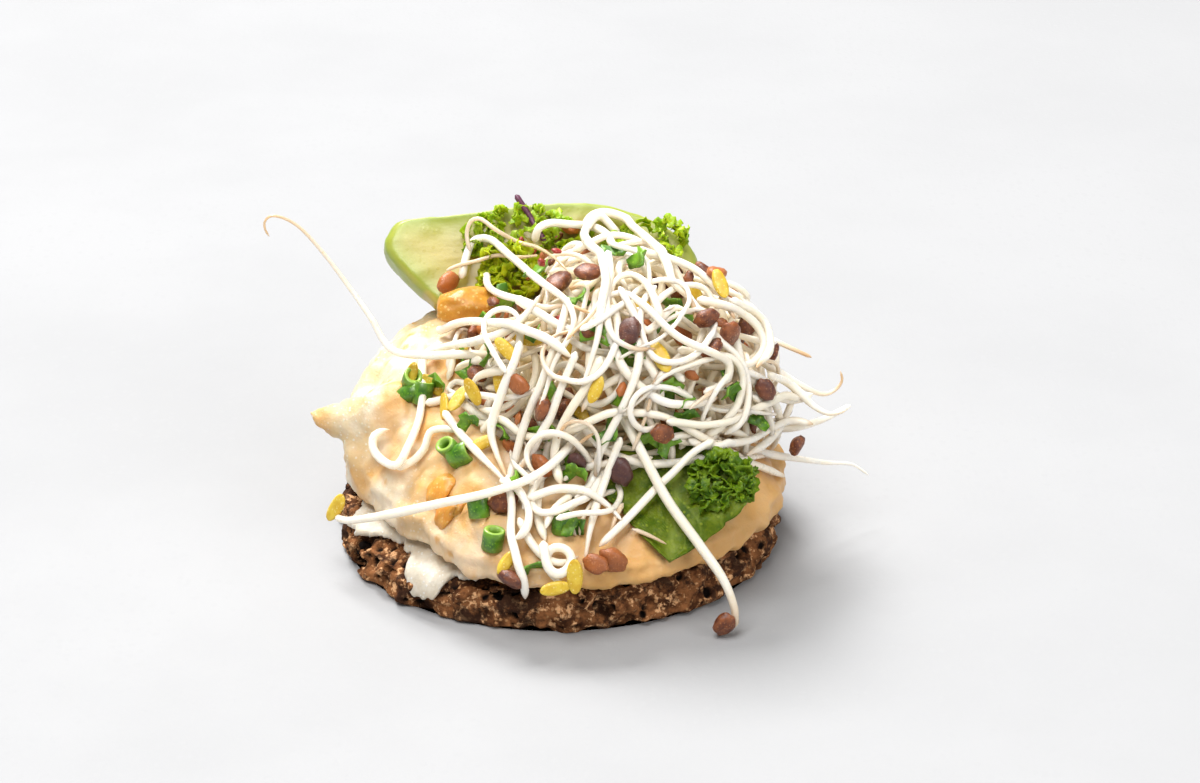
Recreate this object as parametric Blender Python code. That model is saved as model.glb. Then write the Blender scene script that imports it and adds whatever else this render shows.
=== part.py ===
"""Open sandwich on a round of dark rye bread, built in metres with +Z up.

The origin is the centre of the bread's underside. -Y is the side that the sprouts hang down. The round carries a
thin layer of cream cheese, a piped mound of chickpea spread, an avocado slice, herbs and a heap of sprouts.
"""

import math
import random

import bmesh
import bpy
from mathutils import Matrix, Vector, noise
from mathutils.bvhtree import BVHTree

MM = 0.001
GAP = 0.25 * MM  # clear space between two pieces that rest on each other

# Bread
BREAD_RADIUS = 25.0 * MM
BREAD_HEIGHT = 5.2 * MM
CRUMB_DEPTH = 0.75 * MM  # how deep the torn crumb of the cut side runs
SHOULDER_START = 20.0 * MM  # radius from which the torn rim falls away
SHOULDER_DROP = 2.1 * MM
SHOULDER_AZIMUTH = 222.0  # degrees, front left
SHOULDER_SPREAD = 34.0
ROUND_SIDES = 64

# Cream cheese
CHEESE_THICKNESS = 0.65 * MM
CHEESE_RADIUS = 22.4 * MM
CHEESE_LOBES = ((203.0, 9.0, 2.1 * MM), (236.0, 10.0, 2.4 * MM))  # azimuth, half width, reach past the rest

# Chickpea spread
SPREAD_BOTTOM = BREAD_HEIGHT + CHEESE_THICKNESS + 2 * GAP
SPREAD_PEAK = (-6.0 * MM, 9.0 * MM, 22.0 * MM)
SPREAD_SIDES = 50
SPREAD_RIM = ((0.0, 25.6), (45.0, 25.2), (90.0, 25.0), (160.0, 24.4), (185.0, 24.0), (203.0, 22.2),
              (228.0, 22.6), (250.0, 25.4), (272.0, 26.3), (315.0, 26.0), (360.0, 25.6))  # azimuth, radius in mm
SPREAD_SHELF = ((0.0, 8.6), (45.0, 13.0), (70.0, 17.6), (95.0, 19.4), (118.0, 19.2), (142.0, 17.4), (162.0, 15.8),
                (180.0, 13.4), (203.0, 10.4), (228.0, 8.8), (270.0, 8.2), (360.0, 8.6))  # azimuth, height in mm where the side ends
SWIRL_TURNS = 3.0
SWIRL_DEPTH = 0.8 * MM
TIP_ROUTE = ((-17.0, -1.0, 14.2), (-21.5, -1.4, 14.0), (-25.2, -1.3, 14.3), (-27.9, -1.0, 15.0))  # mm
TIP_RADII = (4.4, 3.0, 1.5, 0.45)  # mm

# Avocado slice, drawn on its pale cut face: across, then up the face, in mm from the foot of the face
AVOCADO_FOOT = (0.0, 12.0 * MM, 22.4 * MM)
AVOCADO_LEAN = 40.0  # degrees back from upright
AVOCADO_EDGE = ((-13.9, 0.0), (-17.4, 3.4), (-19.9, 6.6), (-19.6, 8.8), (-18.0, 10.3), (-13.0, 10.8), (-6.5, 11.6),
                (0.0, 12.3), (6.0, 11.9), (11.0, 10.1), (14.4, 7.6), (15.6, 5.2), (14.6, 2.0), (11.0, 0.8),
                (5.0, 1.9), (-2.0, 2.3), (-8.0, 1.4))
AVOCADO_FOOT_THICKNESS = 4.0 * MM
AVOCADO_TOP_THICKNESS = 8.0 * MM
AVOCADO_TOP = 12.3 * MM

# Herbs: centre in mm, heading and tilt in degrees, half length and half width in mm, lobes, wave in mm
LEAF_THICKNESS = 0.5 * MM
LEAF_SIDES = 18
LEAVES = {
    "leaf_front": ((12.6, -18.0, 13.0), -95.0, 44.0, (7.4, 7.2), 0, 0.25, 0.8),
    "parsley_front": ((17.6, -17.6, 14.6), 10.0, 44.0, (3.6, 3.0), 5, 0.7, 0.0),
    "parsley_top": ((-4.4, 17.9, 31.4), 4.0, 50.0, (6.8, 3.2), 6, 0.6, 0.0),
    "parsley_mid": ((-6.4, 13.6, 26.0), 70.0, 50.0, (3.2, 3.6), 5, 0.5, 0.0),
    "parsley_right": ((11.2, 15.9, 29.7), 8.0, 46.0, (4.6, 2.3), 7, 0.5, 0.0),
}  # the last number says how pointed the leaf's end is
HERB_COLOURS = {"leaf_front": (0.16, 0.34, 0.04), "parsley_front": (0.08, 0.25, 0.02)}
HERB_COLOUR = (0.30, 0.50, 0.03)
CHUNK = ((-10.2, 7.6, 24.0), (3.6, 2.4, 2.0), 8.0)  # centre and half sizes in mm, turn in degrees

# Small pieces that lie on the spread, placed from above: x and y in mm
CHIVE_RADIUS = 1.05 * MM
CHIVE_HEIGHT = 1.7 * MM
CHIVES = ((-16.7, -0.4), (-14.5, -2.6), (-10.5, -12.4), (-8.0, -19.2), (-6.8, -22.4), (0.7, -21.6))
DROP = (-12.2, -15.8)
DROP_SIZE = (2.3 * MM, 2.1 * MM, 1.0 * MM)

# Sprouts
HEAP_CENTRE = Vector((6.2, 0.2, 17.4)) * MM
HEAP_REACH = Vector((16.8, 15.2, 15.0)) * MM
HEAP_FLOOR = 8.0 * MM
HEAP_SIDES = 24
STEM_RADIUS = 0.6 * MM
STEM_SIDES = 5
STEM_STEPS = 8
STEM_STEP = 3.2 * MM
STEM_LIFT = 1.9 * MM
RULED_STEMS = 28
HULL_SIZE = (1.45 * MM, 1.05 * MM, 0.8 * MM)  # half sizes of a brown seed hull
LOOSE_HULLS = 14
SEED_LEAF_SIZE = (1.75 * MM, 0.8 * MM, 0.45 * MM)  # half sizes of a yellow seed leaf
LOOSE_SEED_LEAVES = 10
SAG = 0.05  # how strongly a sprout turns downwards at each step
GOLDEN_ANGLE = 137.5
PROBE = Vector((0.11, 0.07, 1.0))  # direction in which a point looks for the surface around it
SEED = 17

# Stems that leave the heap, each with its route in mm and its radius at both ends in mm
FREE_STEMS = {
    "long_root_left": (((-3.0, -4.0, 22.8), (-9.5, -4.2, 23.4), (-14.6, -2.6, 22.6), (-18.4, -0.6, 22.4),
                        (-20.6, 1.0, 25.4), (-22.4, 2.0, 27.8), (-25.6, 3.2, 32.0), (-28.6, 4.0, 35.2),
                        (-31.2, 4.0, 36.4), (-32.3, 4.0, 35.4), (-31.8, 4.0, 34.0)), 0.65, 0.28),
    "hanging_front": (((4.0, -9.0, 25.0), (6.5, -14.5, 21.8), (8.8, -17.6, 18.6), (11.7, -20.2, 13.8),
                       (15.2, -22.8, 9.6), (17.6, -24.2, 6.4), (18.8, -24.8, 3.4), (18.9, -24.9, 1.3)), 0.65, 0.5),
    "low_right": (((12.0, -9.0, 17.5), (17.5, -8.5, 15.0), (22.0, -6.0, 12.4), (26.4, -3.0, 10.2),
                   (30.0, 0.0, 8.2), (33.0, 2.0, 7.0), (34.9, 2.2, 5.6)), 0.55, 0.28),
    "middle_right": (((14.0, -6.0, 20.0), (20.0, -6.0, 16.6), (25.0, -3.5, 14.2), (29.0, -1.0, 13.9),
                      (32.3, 0.0, 15.2)), 0.55, 0.4),
    "upper_right": (((17.0, 0.0, 24.5), (22.0, -1.0, 21.5), (26.5, 0.0, 18.0), (29.6, 1.4, 16.0),
                     (31.5, 2.0, 17.0), (31.4, 2.2, 18.4)), 0.5, 0.26),
    "back_right": (((14.0, 8.0, 25.0), (19.5, 8.5, 22.4), (24.2, 8.2, 19.6), (28.4, 8.0, 17.6)), 0.5, 0.35),
    "front_left": (((3.0, -15.0, 19.5), (-1.5, -19.5, 16.8), (-6.5, -20.6, 15.0), (-12.5, -18.8, 12.6),
                    (-18.0, -15.4, 9.6), (-22.6, -11.8, 7.0), (-24.2, -10.0, 6.4)), 0.65, 0.5),
    "front_drop": (((-2.0, -12.0, 22.6), (-3.6, -19.0, 17.8), (-4.0, -23.6, 13.2), (-3.8, -26.6, 9.2),
                    (-3.2, -27.4, 5.4)), 0.6, 0.35),
    "left_loop": (((-2.0, -7.0, 24.2), (-8.0, -9.0, 23.4), (-12.8, -9.2, 22.2), (-14.6, -12.4, 19.2),
                   (-17.2, -14.2, 15.8), (-20.0, -12.6, 15.0), (-20.4, -9.6, 17.6), (-17.6, -8.2, 20.4)), 0.5, 0.35),
}
HULLS_ON_STEMS = {"hanging_front": (18.0, -25.2, 1.6)}  # where a free stem ends in its seed hull, in mm
SEED_LEAVES_ON_STEMS = {"front_left": (-24.3, -9.4, 7.4)}


def clear_scene():
    """Empties the scene."""
    for item in list(bpy.data.objects):
        bpy.data.objects.remove(item)


def finish(name, colour, roughness):
    """A plain material of one colour."""
    material = bpy.data.materials.new(name)
    material.use_nodes = True
    shader = material.node_tree.nodes["Principled BSDF"]
    shader.inputs["Base Color"].default_value = (*colour, 1.0)
    shader.inputs["Roughness"].default_value = roughness
    material.diffuse_color = (*colour, 1.0)
    return material


def solid(name, rings, material=None, smooth=True):
    """A closed solid through rings of points, each ring anticlockwise seen from the last one, capped at both ends."""
    count = len(rings[0])
    points = [point for ring in rings for point in ring]
    faces = [tuple(reversed(range(count))), tuple(range(len(points) - count, len(points)))]
    for row in range(len(rings) - 1):
        for i in range(count):
            j = (i + 1) % count
            faces.append((row * count + i, row * count + j, (row + 1) * count + j, (row + 1) * count + i))
    mesh = bpy.data.meshes.new(name)
    mesh.from_pydata([tuple(p) for p in points], [], faces)
    item = bpy.data.objects.new(name, mesh)
    bpy.context.scene.collection.objects.link(item)
    if material:
        mesh.materials.append(material)
    if smooth:
        mesh.shade_smooth()
        mesh.set_sharp_from_angle(angle=math.radians(50))
    return item


def eased(azimuth, table):
    """The value at an azimuth in degrees, eased between the rows (azimuth, value) of a table round the circle."""
    azimuth %= 360.0
    for (low, first), (high, last) in zip(table, table[1:]):
        if low <= azimuth <= high:
            share = (azimuth - low) / (high - low)
            return first + (last - first) * share * share * (3 - 2 * share)
    return table[-1][1]


def hump(azimuth, centre, half_width):
    """A smooth bump round the circle: 1 at the centre azimuth and close to 0 beyond twice the half width."""
    away = (azimuth - centre + 180.0) % 360.0 - 180.0
    return math.exp(-((away / half_width) ** 2))


def grain(point, scale, seed=0.0):
    """Smooth noise from -1 to 1 whose lumps are about scale across."""
    return noise.noise(Vector(point) / scale + Vector((seed, 2.3 * seed, -seed)))


def around(azimuth, radius, height):
    """The point at an azimuth in degrees, a radius and a height."""
    angle = math.radians(azimuth)
    return Vector((radius * math.cos(angle), radius * math.sin(angle), height))


def azimuths(count):
    """Evenly spaced azimuths in degrees."""
    return [360.0 * i / count for i in range(count)]


def bread_top(azimuth, radius):
    """Height of the bread's upper side, which falls away where the rim is torn."""
    fall = max(0.0, (radius - SHOULDER_START) / (BREAD_RADIUS - SHOULDER_START))
    return BREAD_HEIGHT - SHOULDER_DROP * fall * hump(azimuth, SHOULDER_AZIMUTH, SHOULDER_SPREAD)


def make_bread():
    """The round of rye bread, flat below, with a coarse torn side."""
    rings = []
    for share, inset in ((0.0, 0.9), (0.16, 0.2), (0.4, 0.0), (0.64, 0.1), (0.86, 0.0)):
        ring = []
        for azimuth in azimuths(ROUND_SIDES):
            height = bread_top(azimuth, BREAD_RADIUS) * share
            point = around(azimuth, BREAD_RADIUS - inset * MM, height)
            crag = CRUMB_DEPTH * (grain(point, 1.9 * MM) + 0.5 * grain(point, 4.0 * MM, 5.0)) - 0.2 * MM
            ring.append(around(azimuth, BREAD_RADIUS - inset * MM + min(crag, 0.3 * MM), height))
        rings.append(ring)
    for radius in (BREAD_RADIUS - 0.6 * MM, SHOULDER_START):
        rings.append([around(a, radius, bread_top(a, radius)) for a in azimuths(ROUND_SIDES)])
    return solid("bread", rings, finish("rye_crumb", (0.13, 0.06, 0.035), 0.9))


def cheese_edge(azimuth):
    """Radius of the cream cheese, with the two lobes that show in front of the spread."""
    return CHEESE_RADIUS + sum(reach * hump(azimuth, centre, width) for centre, width, reach in CHEESE_LOBES)


def make_cheese():
    """The thin layer of cream cheese on the bread, following the bread's torn shoulder."""
    rings = []
    for inset, rise in ((None, 0.0), (0.5, 0.0), (0.0, 0.35), (0.35, 0.9), (None, 1.0)):
        ring = []
        for azimuth in azimuths(ROUND_SIDES):
            radius = SHOULDER_START if inset is None else cheese_edge(azimuth) - inset * MM
            height = bread_top(azimuth, radius) + GAP + rise * CHEESE_THICKNESS
            ring.append(around(azimuth, radius, height))
        rings.append(ring)
    return solid("cream_cheese", rings, finish("cream_cheese", (0.86, 0.84, 0.79), 0.5))


def spread_top(azimuth, share):
    """Point on the top of the spread, from its peak at share 0 to the end of its side at share 1."""
    peak = Vector(SPREAD_PEAK)
    shelf = eased(azimuth, SPREAD_SHELF) * MM
    rim = around(azimuth, eased(azimuth, SPREAD_RIM) * MM - 0.9 * MM * share, 0.0)
    place = Vector((peak.x, peak.y, 0.0)).lerp(rim, share)
    swirl = math.cos(2 * math.pi * (SWIRL_TURNS * share - azimuth / 360.0))
    fade = min(1.0, 2.5 * share) * (1.0 - share ** 6)
    place.z = shelf + (peak.z - shelf) * (1.0 - share * share) ** 0.8 - SWIRL_DEPTH * fade * (0.5 + 0.5 * swirl)
    return place


def make_spread():
    """The piped mound of chickpea spread, whose last bit of piping ends in a tip at the left."""
    rings = [[around(a, 0.6 * BREAD_RADIUS, SPREAD_BOTTOM) for a in azimuths(SPREAD_SIDES)]]
    for inset, share, drop in ((2.6, 0.0, 0.0), (1.4, 0.0, 0.6), (0.35, 0.1, 0.45), (0.0, 0.32, 0.2),
                               (0.35, 0.62, 0.0), (0.15, 0.86, 0.0)):
        ring = []
        for azimuth in azimuths(SPREAD_SIDES):
            rim = eased(azimuth, SPREAD_RIM) * MM
            overhang = min(1.0, max(0.0, (rim - 24.6 * MM) / (1.0 * MM)))
            low = SPREAD_BOTTOM - drop * overhang * MM
            height = low + (eased(azimuth, SPREAD_SHELF) * MM - low) * share
            ring.append(around(azimuth, rim - inset * MM, height))
        rings.append(ring)
    for share in (0.99, 0.92, 0.83, 0.73, 0.63, 0.52, 0.41, 0.28, 0.12):
        rings.append([spread_top(a, share) for a in azimuths(SPREAD_SIDES)])
    return solid("chickpea_spread", rings, finish("chickpea_spread", (0.80, 0.60, 0.37), 0.6))


def smooth_route(points, steps):
    """A Catmull-Rom curve through the points, as steps + 1 evenly numbered places."""
    ends = [points[0] * 2 - points[1], *points, points[-1] * 2 - points[-2]]
    route = []
    for step in range(steps + 1):
        at = step * (len(points) - 1) / steps
        k = min(int(at), len(points) - 2)
        t = at - k
        a, b, c, d = ends[k:k + 4]
        route.append(0.5 * ((2 * b) + (c - a) * t + (2 * a - 5 * b + 4 * c - d) * t * t
                            + (3 * b - a - 3 * c + d) * t ** 3))
    return route


def tube(name, route, radii, sides, material=None):
    """A tapered tube along a route, turned as little as possible from ring to ring."""
    side = Vector((0.0, 0.0, 1.0))
    rings = []
    for k, (point, radius) in enumerate(zip(route, radii)):
        along = (route[min(k + 1, len(route) - 1)] - route[max(k - 1, 0)]).normalized()
        side = (side - along * side.dot(along)).normalized()
        other = along.cross(side)
        rings.append([point + radius * (side * math.cos(2 * math.pi * i / sides)
                                        + other * math.sin(2 * math.pi * i / sides)) for i in range(sides)])
    return solid(name, rings, material)


def millimetres(points):
    """Points given in millimetres, as vectors in metres."""
    return [Vector(p) * MM for p in points]


def make_tip():
    """The drawn-out end of the piping, which is joined to the spread."""
    route = smooth_route(millimetres(TIP_ROUTE), 6)
    radii = [r.x for r in smooth_route([Vector((r * MM, 0.0, 0.0)) for r in TIP_RADII], 6)]
    return tube("tip", route, radii, 12)


def make_avocado():
    """The avocado slice: a crescent with a pale face in front, thicker at the skin side than at its foot."""
    lean = math.radians(AVOCADO_LEAN)
    up = Vector((0.0, math.sin(lean), math.cos(lean)))
    back = Vector((0.0, math.cos(lean), -math.sin(lean)))
    foot = Vector(AVOCADO_FOOT)
    outline = smooth_route(millimetres([(*place, 0.0) for place in (*AVOCADO_EDGE, AVOCADO_EDGE[0])]), 34)[:-1]
    middle = sum(outline, Vector()) / len(outline)
    rings = []
    for depth, scale in ((0.0, 0.5), (0.0, 0.965), (0.12, 1.0), (0.5, 1.015), (0.88, 1.0), (1.0, 0.95), (1.0, 0.5)):
        ring = []
        for point in outline:
            place = middle + (point - middle) * scale
            share = place.y / AVOCADO_TOP
            thickness = AVOCADO_FOOT_THICKNESS + (AVOCADO_TOP_THICKNESS - AVOCADO_FOOT_THICKNESS) * share
            ring.append(foot + Vector((place.x, 0.0, 0.0)) + up * place.y + back * thickness * depth)
        rings.append(ring)
    return solid("avocado", rings, finish("avocado_flesh", (0.66, 0.68, 0.22), 0.5))


def make_leaf(name, material, supports):
    """A thin wavy leaf as one solid, bent where it would come too near the pieces that it lies on."""
    centre, heading, tilt, size, lobes, wave, taper = LEAVES[name]
    turn = Matrix.Rotation(math.radians(tilt), 3, "X") @ Matrix.Rotation(math.radians(heading), 3, "Z")
    across = turn @ Vector((0.0, 0.0, LEAF_THICKNESS / 2))
    trees = [surface_of(item) for item in supports]
    low, high = [], []
    for share in (0.15, 0.58, 1.0):
        ring = []
        for azimuth in azimuths(LEAF_SIDES):
            angle = math.radians(azimuth)
            reach = share * (1.0 - 0.15 * share * (0.5 - 0.5 * math.cos(lobes * angle)))
            narrow = (1.0 - taper * math.cos(angle)) / (1.0 + 0.3 * taper)
            ripple = share * math.cos(max(lobes, 3) * angle + 0.7)
            place = Vector((size[0] * reach * math.cos(angle), size[1] * reach * math.sin(angle) * narrow,
                            wave * ripple)) * MM
            ring.append(Vector(centre) * MM + turn @ place)
        for tree in trees:
            ring = [standing_off(point, tree, LEAF_THICKNESS / 2 + GAP + 0.1 * MM) for point in ring]
        low.append([point - across for point in ring])
        high.append([point + across for point in ring])
    return solid(name, low + high[::-1], material)


def make_chunk(material):
    """The rounded irregular chunk in front of the avocado."""
    centre, half, turn = CHUNK
    spin = Matrix.Rotation(math.radians(turn), 3, "Z")
    rings = []
    for level, width in ((-1.0, 0.62), (-0.8, 0.92), (0.1, 1.0), (0.75, 0.84), (1.0, 0.5)):
        ring = []
        for azimuth in azimuths(14):
            flat = around(azimuth, width, level)
            flat *= 1.0 + 0.12 * grain(flat, 0.7)
            place = spin @ Vector((flat.x * half[0], flat.y * half[1], level * half[2]))
            ring.append((Vector(centre) + place) * MM)
        rings.append(ring)
    return solid("orange_chunk", rings, material)


def resting_spot(tree, place):
    """Where a point given in mm from above meets a surface, and the normal there."""
    spot, normal, _, _ = tree.ray_cast(Vector((place[0] * MM, place[1] * MM, 0.1)), Vector((0.0, 0.0, -1.0)))
    return spot, normal


def make_spread_bits(spread):
    """The chive rings and the orange drop, sunk a little into the spread so that they join it."""
    tree = surface_of(spread)
    draw = random.Random(SEED)
    bits = []
    for place in CHIVES:
        spot, normal = resting_spot(tree, place)
        lean = (normal + 0.5 * Vector((draw.uniform(-1, 1), draw.uniform(-1, 1), 0.0))).normalized()
        route = [spot - normal * 0.5 * MM, spot + lean * 0.5 * CHIVE_HEIGHT, spot + lean * CHIVE_HEIGHT]
        bits.append(tube("chive", route, [CHIVE_RADIUS] * 3, 9))
    spot, normal = resting_spot(tree, DROP)
    bits.append(seed_body("drop", spot + normal * 0.1 * MM, DROP_SIZE, Vector((0.4, 0.0, 1.0)).cross(normal)))
    return bits


def seed_body(name, centre, half, direction):
    """A low oval body of about thirty triangles, long way along a direction."""
    along = Vector(direction).normalized()
    side = along.orthogonal().normalized()
    other = along.cross(side)
    rings = []
    for level, width in ((-0.86, 0.45), (0.0, 1.0), (0.86, 0.5)):
        rings.append([Vector(centre) + along * half[0] * level
                      + width * (side * half[1] * math.cos(math.pi * i / 3)
                                 + other * half[2] * math.sin(math.pi * i / 3)) for i in range(6)])
    return solid(name, rings)


def surface_of(item):
    """A search tree of an object's evaluated surface."""
    graph = bpy.context.evaluated_depsgraph_get()
    return BVHTree.FromObject(item, graph)


def standing_off(point, tree, distance):
    """The point, moved out so that it is at least distance outside the closed surface of the tree."""
    spot, normal, _, gap = tree.find_nearest(point)
    _, facing, _, _ = tree.ray_cast(point, PROBE)
    inside = facing is not None and facing.dot(PROBE) > 0
    if not inside and gap >= distance:
        return point
    outward = normal if gap < 0.05 * MM else (spot - point if inside else point - spot).normalized()
    return spot + outward * distance


def apply_modifiers(item):
    """Makes an object's modifiers its mesh."""
    graph = bpy.context.evaluated_depsgraph_get()
    mesh = bpy.data.meshes.new_from_object(item.evaluated_get(graph))
    item.modifiers.clear()
    item.data = mesh


def join_all(base, pieces, solver="EXACT"):
    """One Boolean union of an object with a list of others, which are then removed."""
    group = bpy.data.collections.new("pieces of " + base.name)
    bpy.context.scene.collection.children.link(group)
    for piece in pieces:
        bpy.context.scene.collection.objects.unlink(piece)
        group.objects.link(piece)
    union = base.modifiers.new("Join", "BOOLEAN")
    union.operation = "UNION"
    union.operand_type = "COLLECTION"
    union.collection = group
    union.solver = solver
    apply_modifiers(base)
    for piece in pieces:
        bpy.data.objects.remove(piece)
    bpy.data.collections.remove(group)


def carve(base, neighbours, distance, solver="EXACT"):
    """Cuts an object back so that it keeps a distance from its neighbours."""
    for neighbour in neighbours:
        cutter = bpy.data.objects.new("swollen " + neighbour.name, swollen(neighbour, distance))
        bpy.context.scene.collection.objects.link(cutter)
        cut = base.modifiers.new("Cut", "BOOLEAN")
        cut.operation = "DIFFERENCE"
        cut.object = cutter
        cut.solver = solver
        apply_modifiers(base)
        bpy.data.objects.remove(cutter)


def swollen(item, distance):
    """A copy of an object's mesh, grown outwards by a distance."""
    work = bmesh.new()
    work.from_mesh(item.data)
    work.normal_update()
    moves = [vertex.normal * distance * min(vertex.calc_shell_factor(), 1.6) for vertex in work.verts]
    for vertex, move in zip(work.verts, moves):
        vertex.co += move
    mesh = bpy.data.meshes.new("swollen")
    work.to_mesh(mesh)
    work.free()
    return mesh


def keep_largest(item):
    """Drops the loose scraps and sealed hollows that a Boolean left."""
    work = bmesh.new()
    work.from_mesh(item.data)
    left, shells = set(work.faces), []
    while left:
        shell, edge = set(), [left.pop()]
        while edge:
            face = edge.pop()
            shell.add(face)
            beside = {other for line in face.edges for other in line.link_faces} & left
            left -= beside
            edge.extend(beside)
        shells.append(shell)
    shells.sort(key=len)
    bmesh.ops.delete(work, geom=[face for shell in shells[:-1] for face in shell], context="FACES")
    work.to_mesh(item.data)
    work.free()


def heap_distance(point):
    """How far a point stands outside the heap's rounded core, roughly, in metres."""
    away = point - HEAP_CENTRE
    scaled = Vector((away.x / HEAP_REACH.x, away.y / HEAP_REACH.y, away.z / HEAP_REACH.z))
    return (scaled.length - 1.0) * min(HEAP_REACH)


def make_heap_core():
    """The rounded core of the heap, uneven all over, which the sprouts lie on."""
    rings = []
    for level in (-0.9, -0.6, -0.3, 0.0, 0.25, 0.5, 0.7, 0.86, 0.97):
        ring = []
        for azimuth in azimuths(HEAP_SIDES):
            flat = around(azimuth, math.sqrt(1.0 - level * level), level)
            lump = 1.0 + 0.09 * grain(flat, 0.45, 3.0)
            place = HEAP_CENTRE + Vector((flat.x * HEAP_REACH.x, flat.y * HEAP_REACH.y, flat.z * HEAP_REACH.z)) * lump
            place.z = max(place.z, HEAP_FLOOR)
            ring.append(place)
        rings.append(ring)
    return solid("sprouts", rings, finish("sprouts", (0.85, 0.80, 0.68), 0.4))


def ruled_stem(number, draw, supports):
    """The route of a sprout that wanders down over the heap, arching off it and back."""
    level = 0.05 + 0.9 * (number + draw.random()) / RULED_STEMS
    azimuth = number * GOLDEN_ANGLE + draw.uniform(-30.0, 30.0)
    flat = around(azimuth, math.sqrt(1.0 - level * level), level)
    point = HEAP_CENTRE + Vector(flat[i] * HEAP_REACH[i] for i in range(3))
    outward = flat.normalized()
    heading = outward.cross(Vector((draw.gauss(0, 1), draw.gauss(0, 1), draw.gauss(0, 0.6)))).normalized()
    bend = draw.uniform(-0.2, 0.2)
    phase = draw.uniform(0.0, 2 * math.pi)
    route = []
    for step in range(STEM_STEPS + 1):
        lift = 0.2 * MM + STEM_LIFT * math.sin(phase + 0.7 * step) ** 2
        point = point - outward * (heap_distance(point) - lift)
        route.append(point.copy())
        outward = (point - HEAP_CENTRE).normalized()
        bend = 0.8 * bend + draw.gauss(0.0, 0.14)
        heading = heading - outward * heading.dot(outward)
        heading = Matrix.Rotation(bend, 3, outward) @ heading.normalized()
        heading = (heading - Vector((0.0, 0.0, SAG))).normalized()
        point = point + heading * STEM_STEP
    return kept_clear(route, supports, STEM_RADIUS)


def kept_clear(route, supports, radius):
    """A route moved clear of the pieces that the heap rests against."""
    for _ in range(3):
        for tree in supports:
            route = [standing_off(point, tree, radius + GAP + 0.1 * MM) for point in route]
    return route


def make_sprouts(supports):
    """The heap of sprouts as one solid: a core with the sprouts, hulls and seed leaves that show joined to it."""
    draw = random.Random(SEED)
    trees = [surface_of(item) for item in supports]
    pieces = []
    for name, (points, thick, thin) in FREE_STEMS.items():
        steps = 2 * (len(points) - 1)
        route = kept_clear(smooth_route(millimetres(points), steps), trees, thick * MM)
        radii = [(thick + (thin - thick) * (k / steps) ** 1.5) * MM for k in range(steps + 1)]
        pieces.append(tube(name, route, radii, STEM_SIDES))
    routes = [ruled_stem(number, draw, trees) for number in range(RULED_STEMS)]
    for k, route in enumerate(routes):
        radii = [STEM_RADIUS * (1.0 - 0.35 * (i / STEM_STEPS) ** 3) for i in range(STEM_STEPS + 1)]
        pieces.append(tube(f"stem_{k}", route, radii, STEM_SIDES))
    for count, half in ((LOOSE_HULLS, HULL_SIZE), (LOOSE_SEED_LEAVES, SEED_LEAF_SIZE)):
        for _ in range(count):
            route = draw.choice(routes)
            place = route[draw.randrange(2, STEM_STEPS - 2)]
            outward = (place - HEAP_CENTRE).normalized()
            along = outward.cross(Vector((draw.gauss(0, 1), draw.gauss(0, 1), draw.gauss(0, 1))))
            pieces.append(seed_body("grain", place + outward * 0.5 * MM, half, along))
    for spots, half in ((HULLS_ON_STEMS, HULL_SIZE), (SEED_LEAVES_ON_STEMS, SEED_LEAF_SIZE)):
        for place in spots.values():
            pieces.append(seed_body("grain", Vector(place) * MM, half, (0.25, 0.0, 1.0)))
    core = make_heap_core()
    join_all(core, pieces, "MANIFOLD")
    carve(core, supports, GAP, "MANIFOLD")
    keep_largest(core)
    return core


def main():
    """Builds the sandwich from the bread upwards."""
    clear_scene()
    bread = make_bread()
    cheese = make_cheese()
    spread = make_spread()
    join_all(spread, [make_tip(), *make_spread_bits(spread)])
    avocado = make_avocado()
    carve(spread, [avocado], GAP)
    keep_largest(spread)
    chunk = make_chunk(finish("orange_chunk", (0.80, 0.47, 0.11), 0.5))
    herbs = []
    for name in LEAVES:
        material = finish(name, HERB_COLOURS.get(name, HERB_COLOUR), 0.5)
        herbs.append(make_leaf(name, material, [spread, avocado, *herbs]))
    make_sprouts([spread, avocado, chunk, *herbs])


main()
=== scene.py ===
"""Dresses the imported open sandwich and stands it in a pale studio.

Bread, cream cheese, chickpea spread, avocado, herbs and the heap of sprouts are each a class that shapes
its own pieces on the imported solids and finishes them. Lengths in the classes are millimetres; the scene is
in metres.
"""

import logging
import math
from dataclasses import dataclass, field
from enum import Enum
from typing import Any, Callable, Iterable, Sequence

import bmesh
import bpy
import numpy as np
from mathutils import Matrix, Vector, noise
from mathutils.bvhtree import BVHTree
from numpy.typing import NDArray


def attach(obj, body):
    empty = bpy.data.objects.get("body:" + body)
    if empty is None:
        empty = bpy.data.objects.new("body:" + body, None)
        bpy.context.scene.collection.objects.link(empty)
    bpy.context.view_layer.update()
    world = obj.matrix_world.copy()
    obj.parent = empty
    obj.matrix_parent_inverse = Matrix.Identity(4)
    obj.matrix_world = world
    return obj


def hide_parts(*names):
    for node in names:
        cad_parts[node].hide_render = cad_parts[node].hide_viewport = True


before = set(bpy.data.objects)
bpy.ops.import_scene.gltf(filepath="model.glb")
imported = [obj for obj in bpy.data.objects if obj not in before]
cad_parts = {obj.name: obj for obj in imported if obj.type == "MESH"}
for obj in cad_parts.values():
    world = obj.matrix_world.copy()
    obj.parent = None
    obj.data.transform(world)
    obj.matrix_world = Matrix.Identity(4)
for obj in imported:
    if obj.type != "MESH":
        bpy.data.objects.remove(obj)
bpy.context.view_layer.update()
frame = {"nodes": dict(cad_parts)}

LOG = logging.getLogger("sandwich")
MM = 0.001
BODY = "root"
Item = bpy.types.Object
Mesh = bpy.types.Mesh
Socket = bpy.types.NodeSocket
Tree = bpy.types.NodeTree
Points = NDArray[np.float64]
Numbers = NDArray[np.int64]
Colour = tuple[float, float, float]
Place = tuple[float, float, float]
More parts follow.
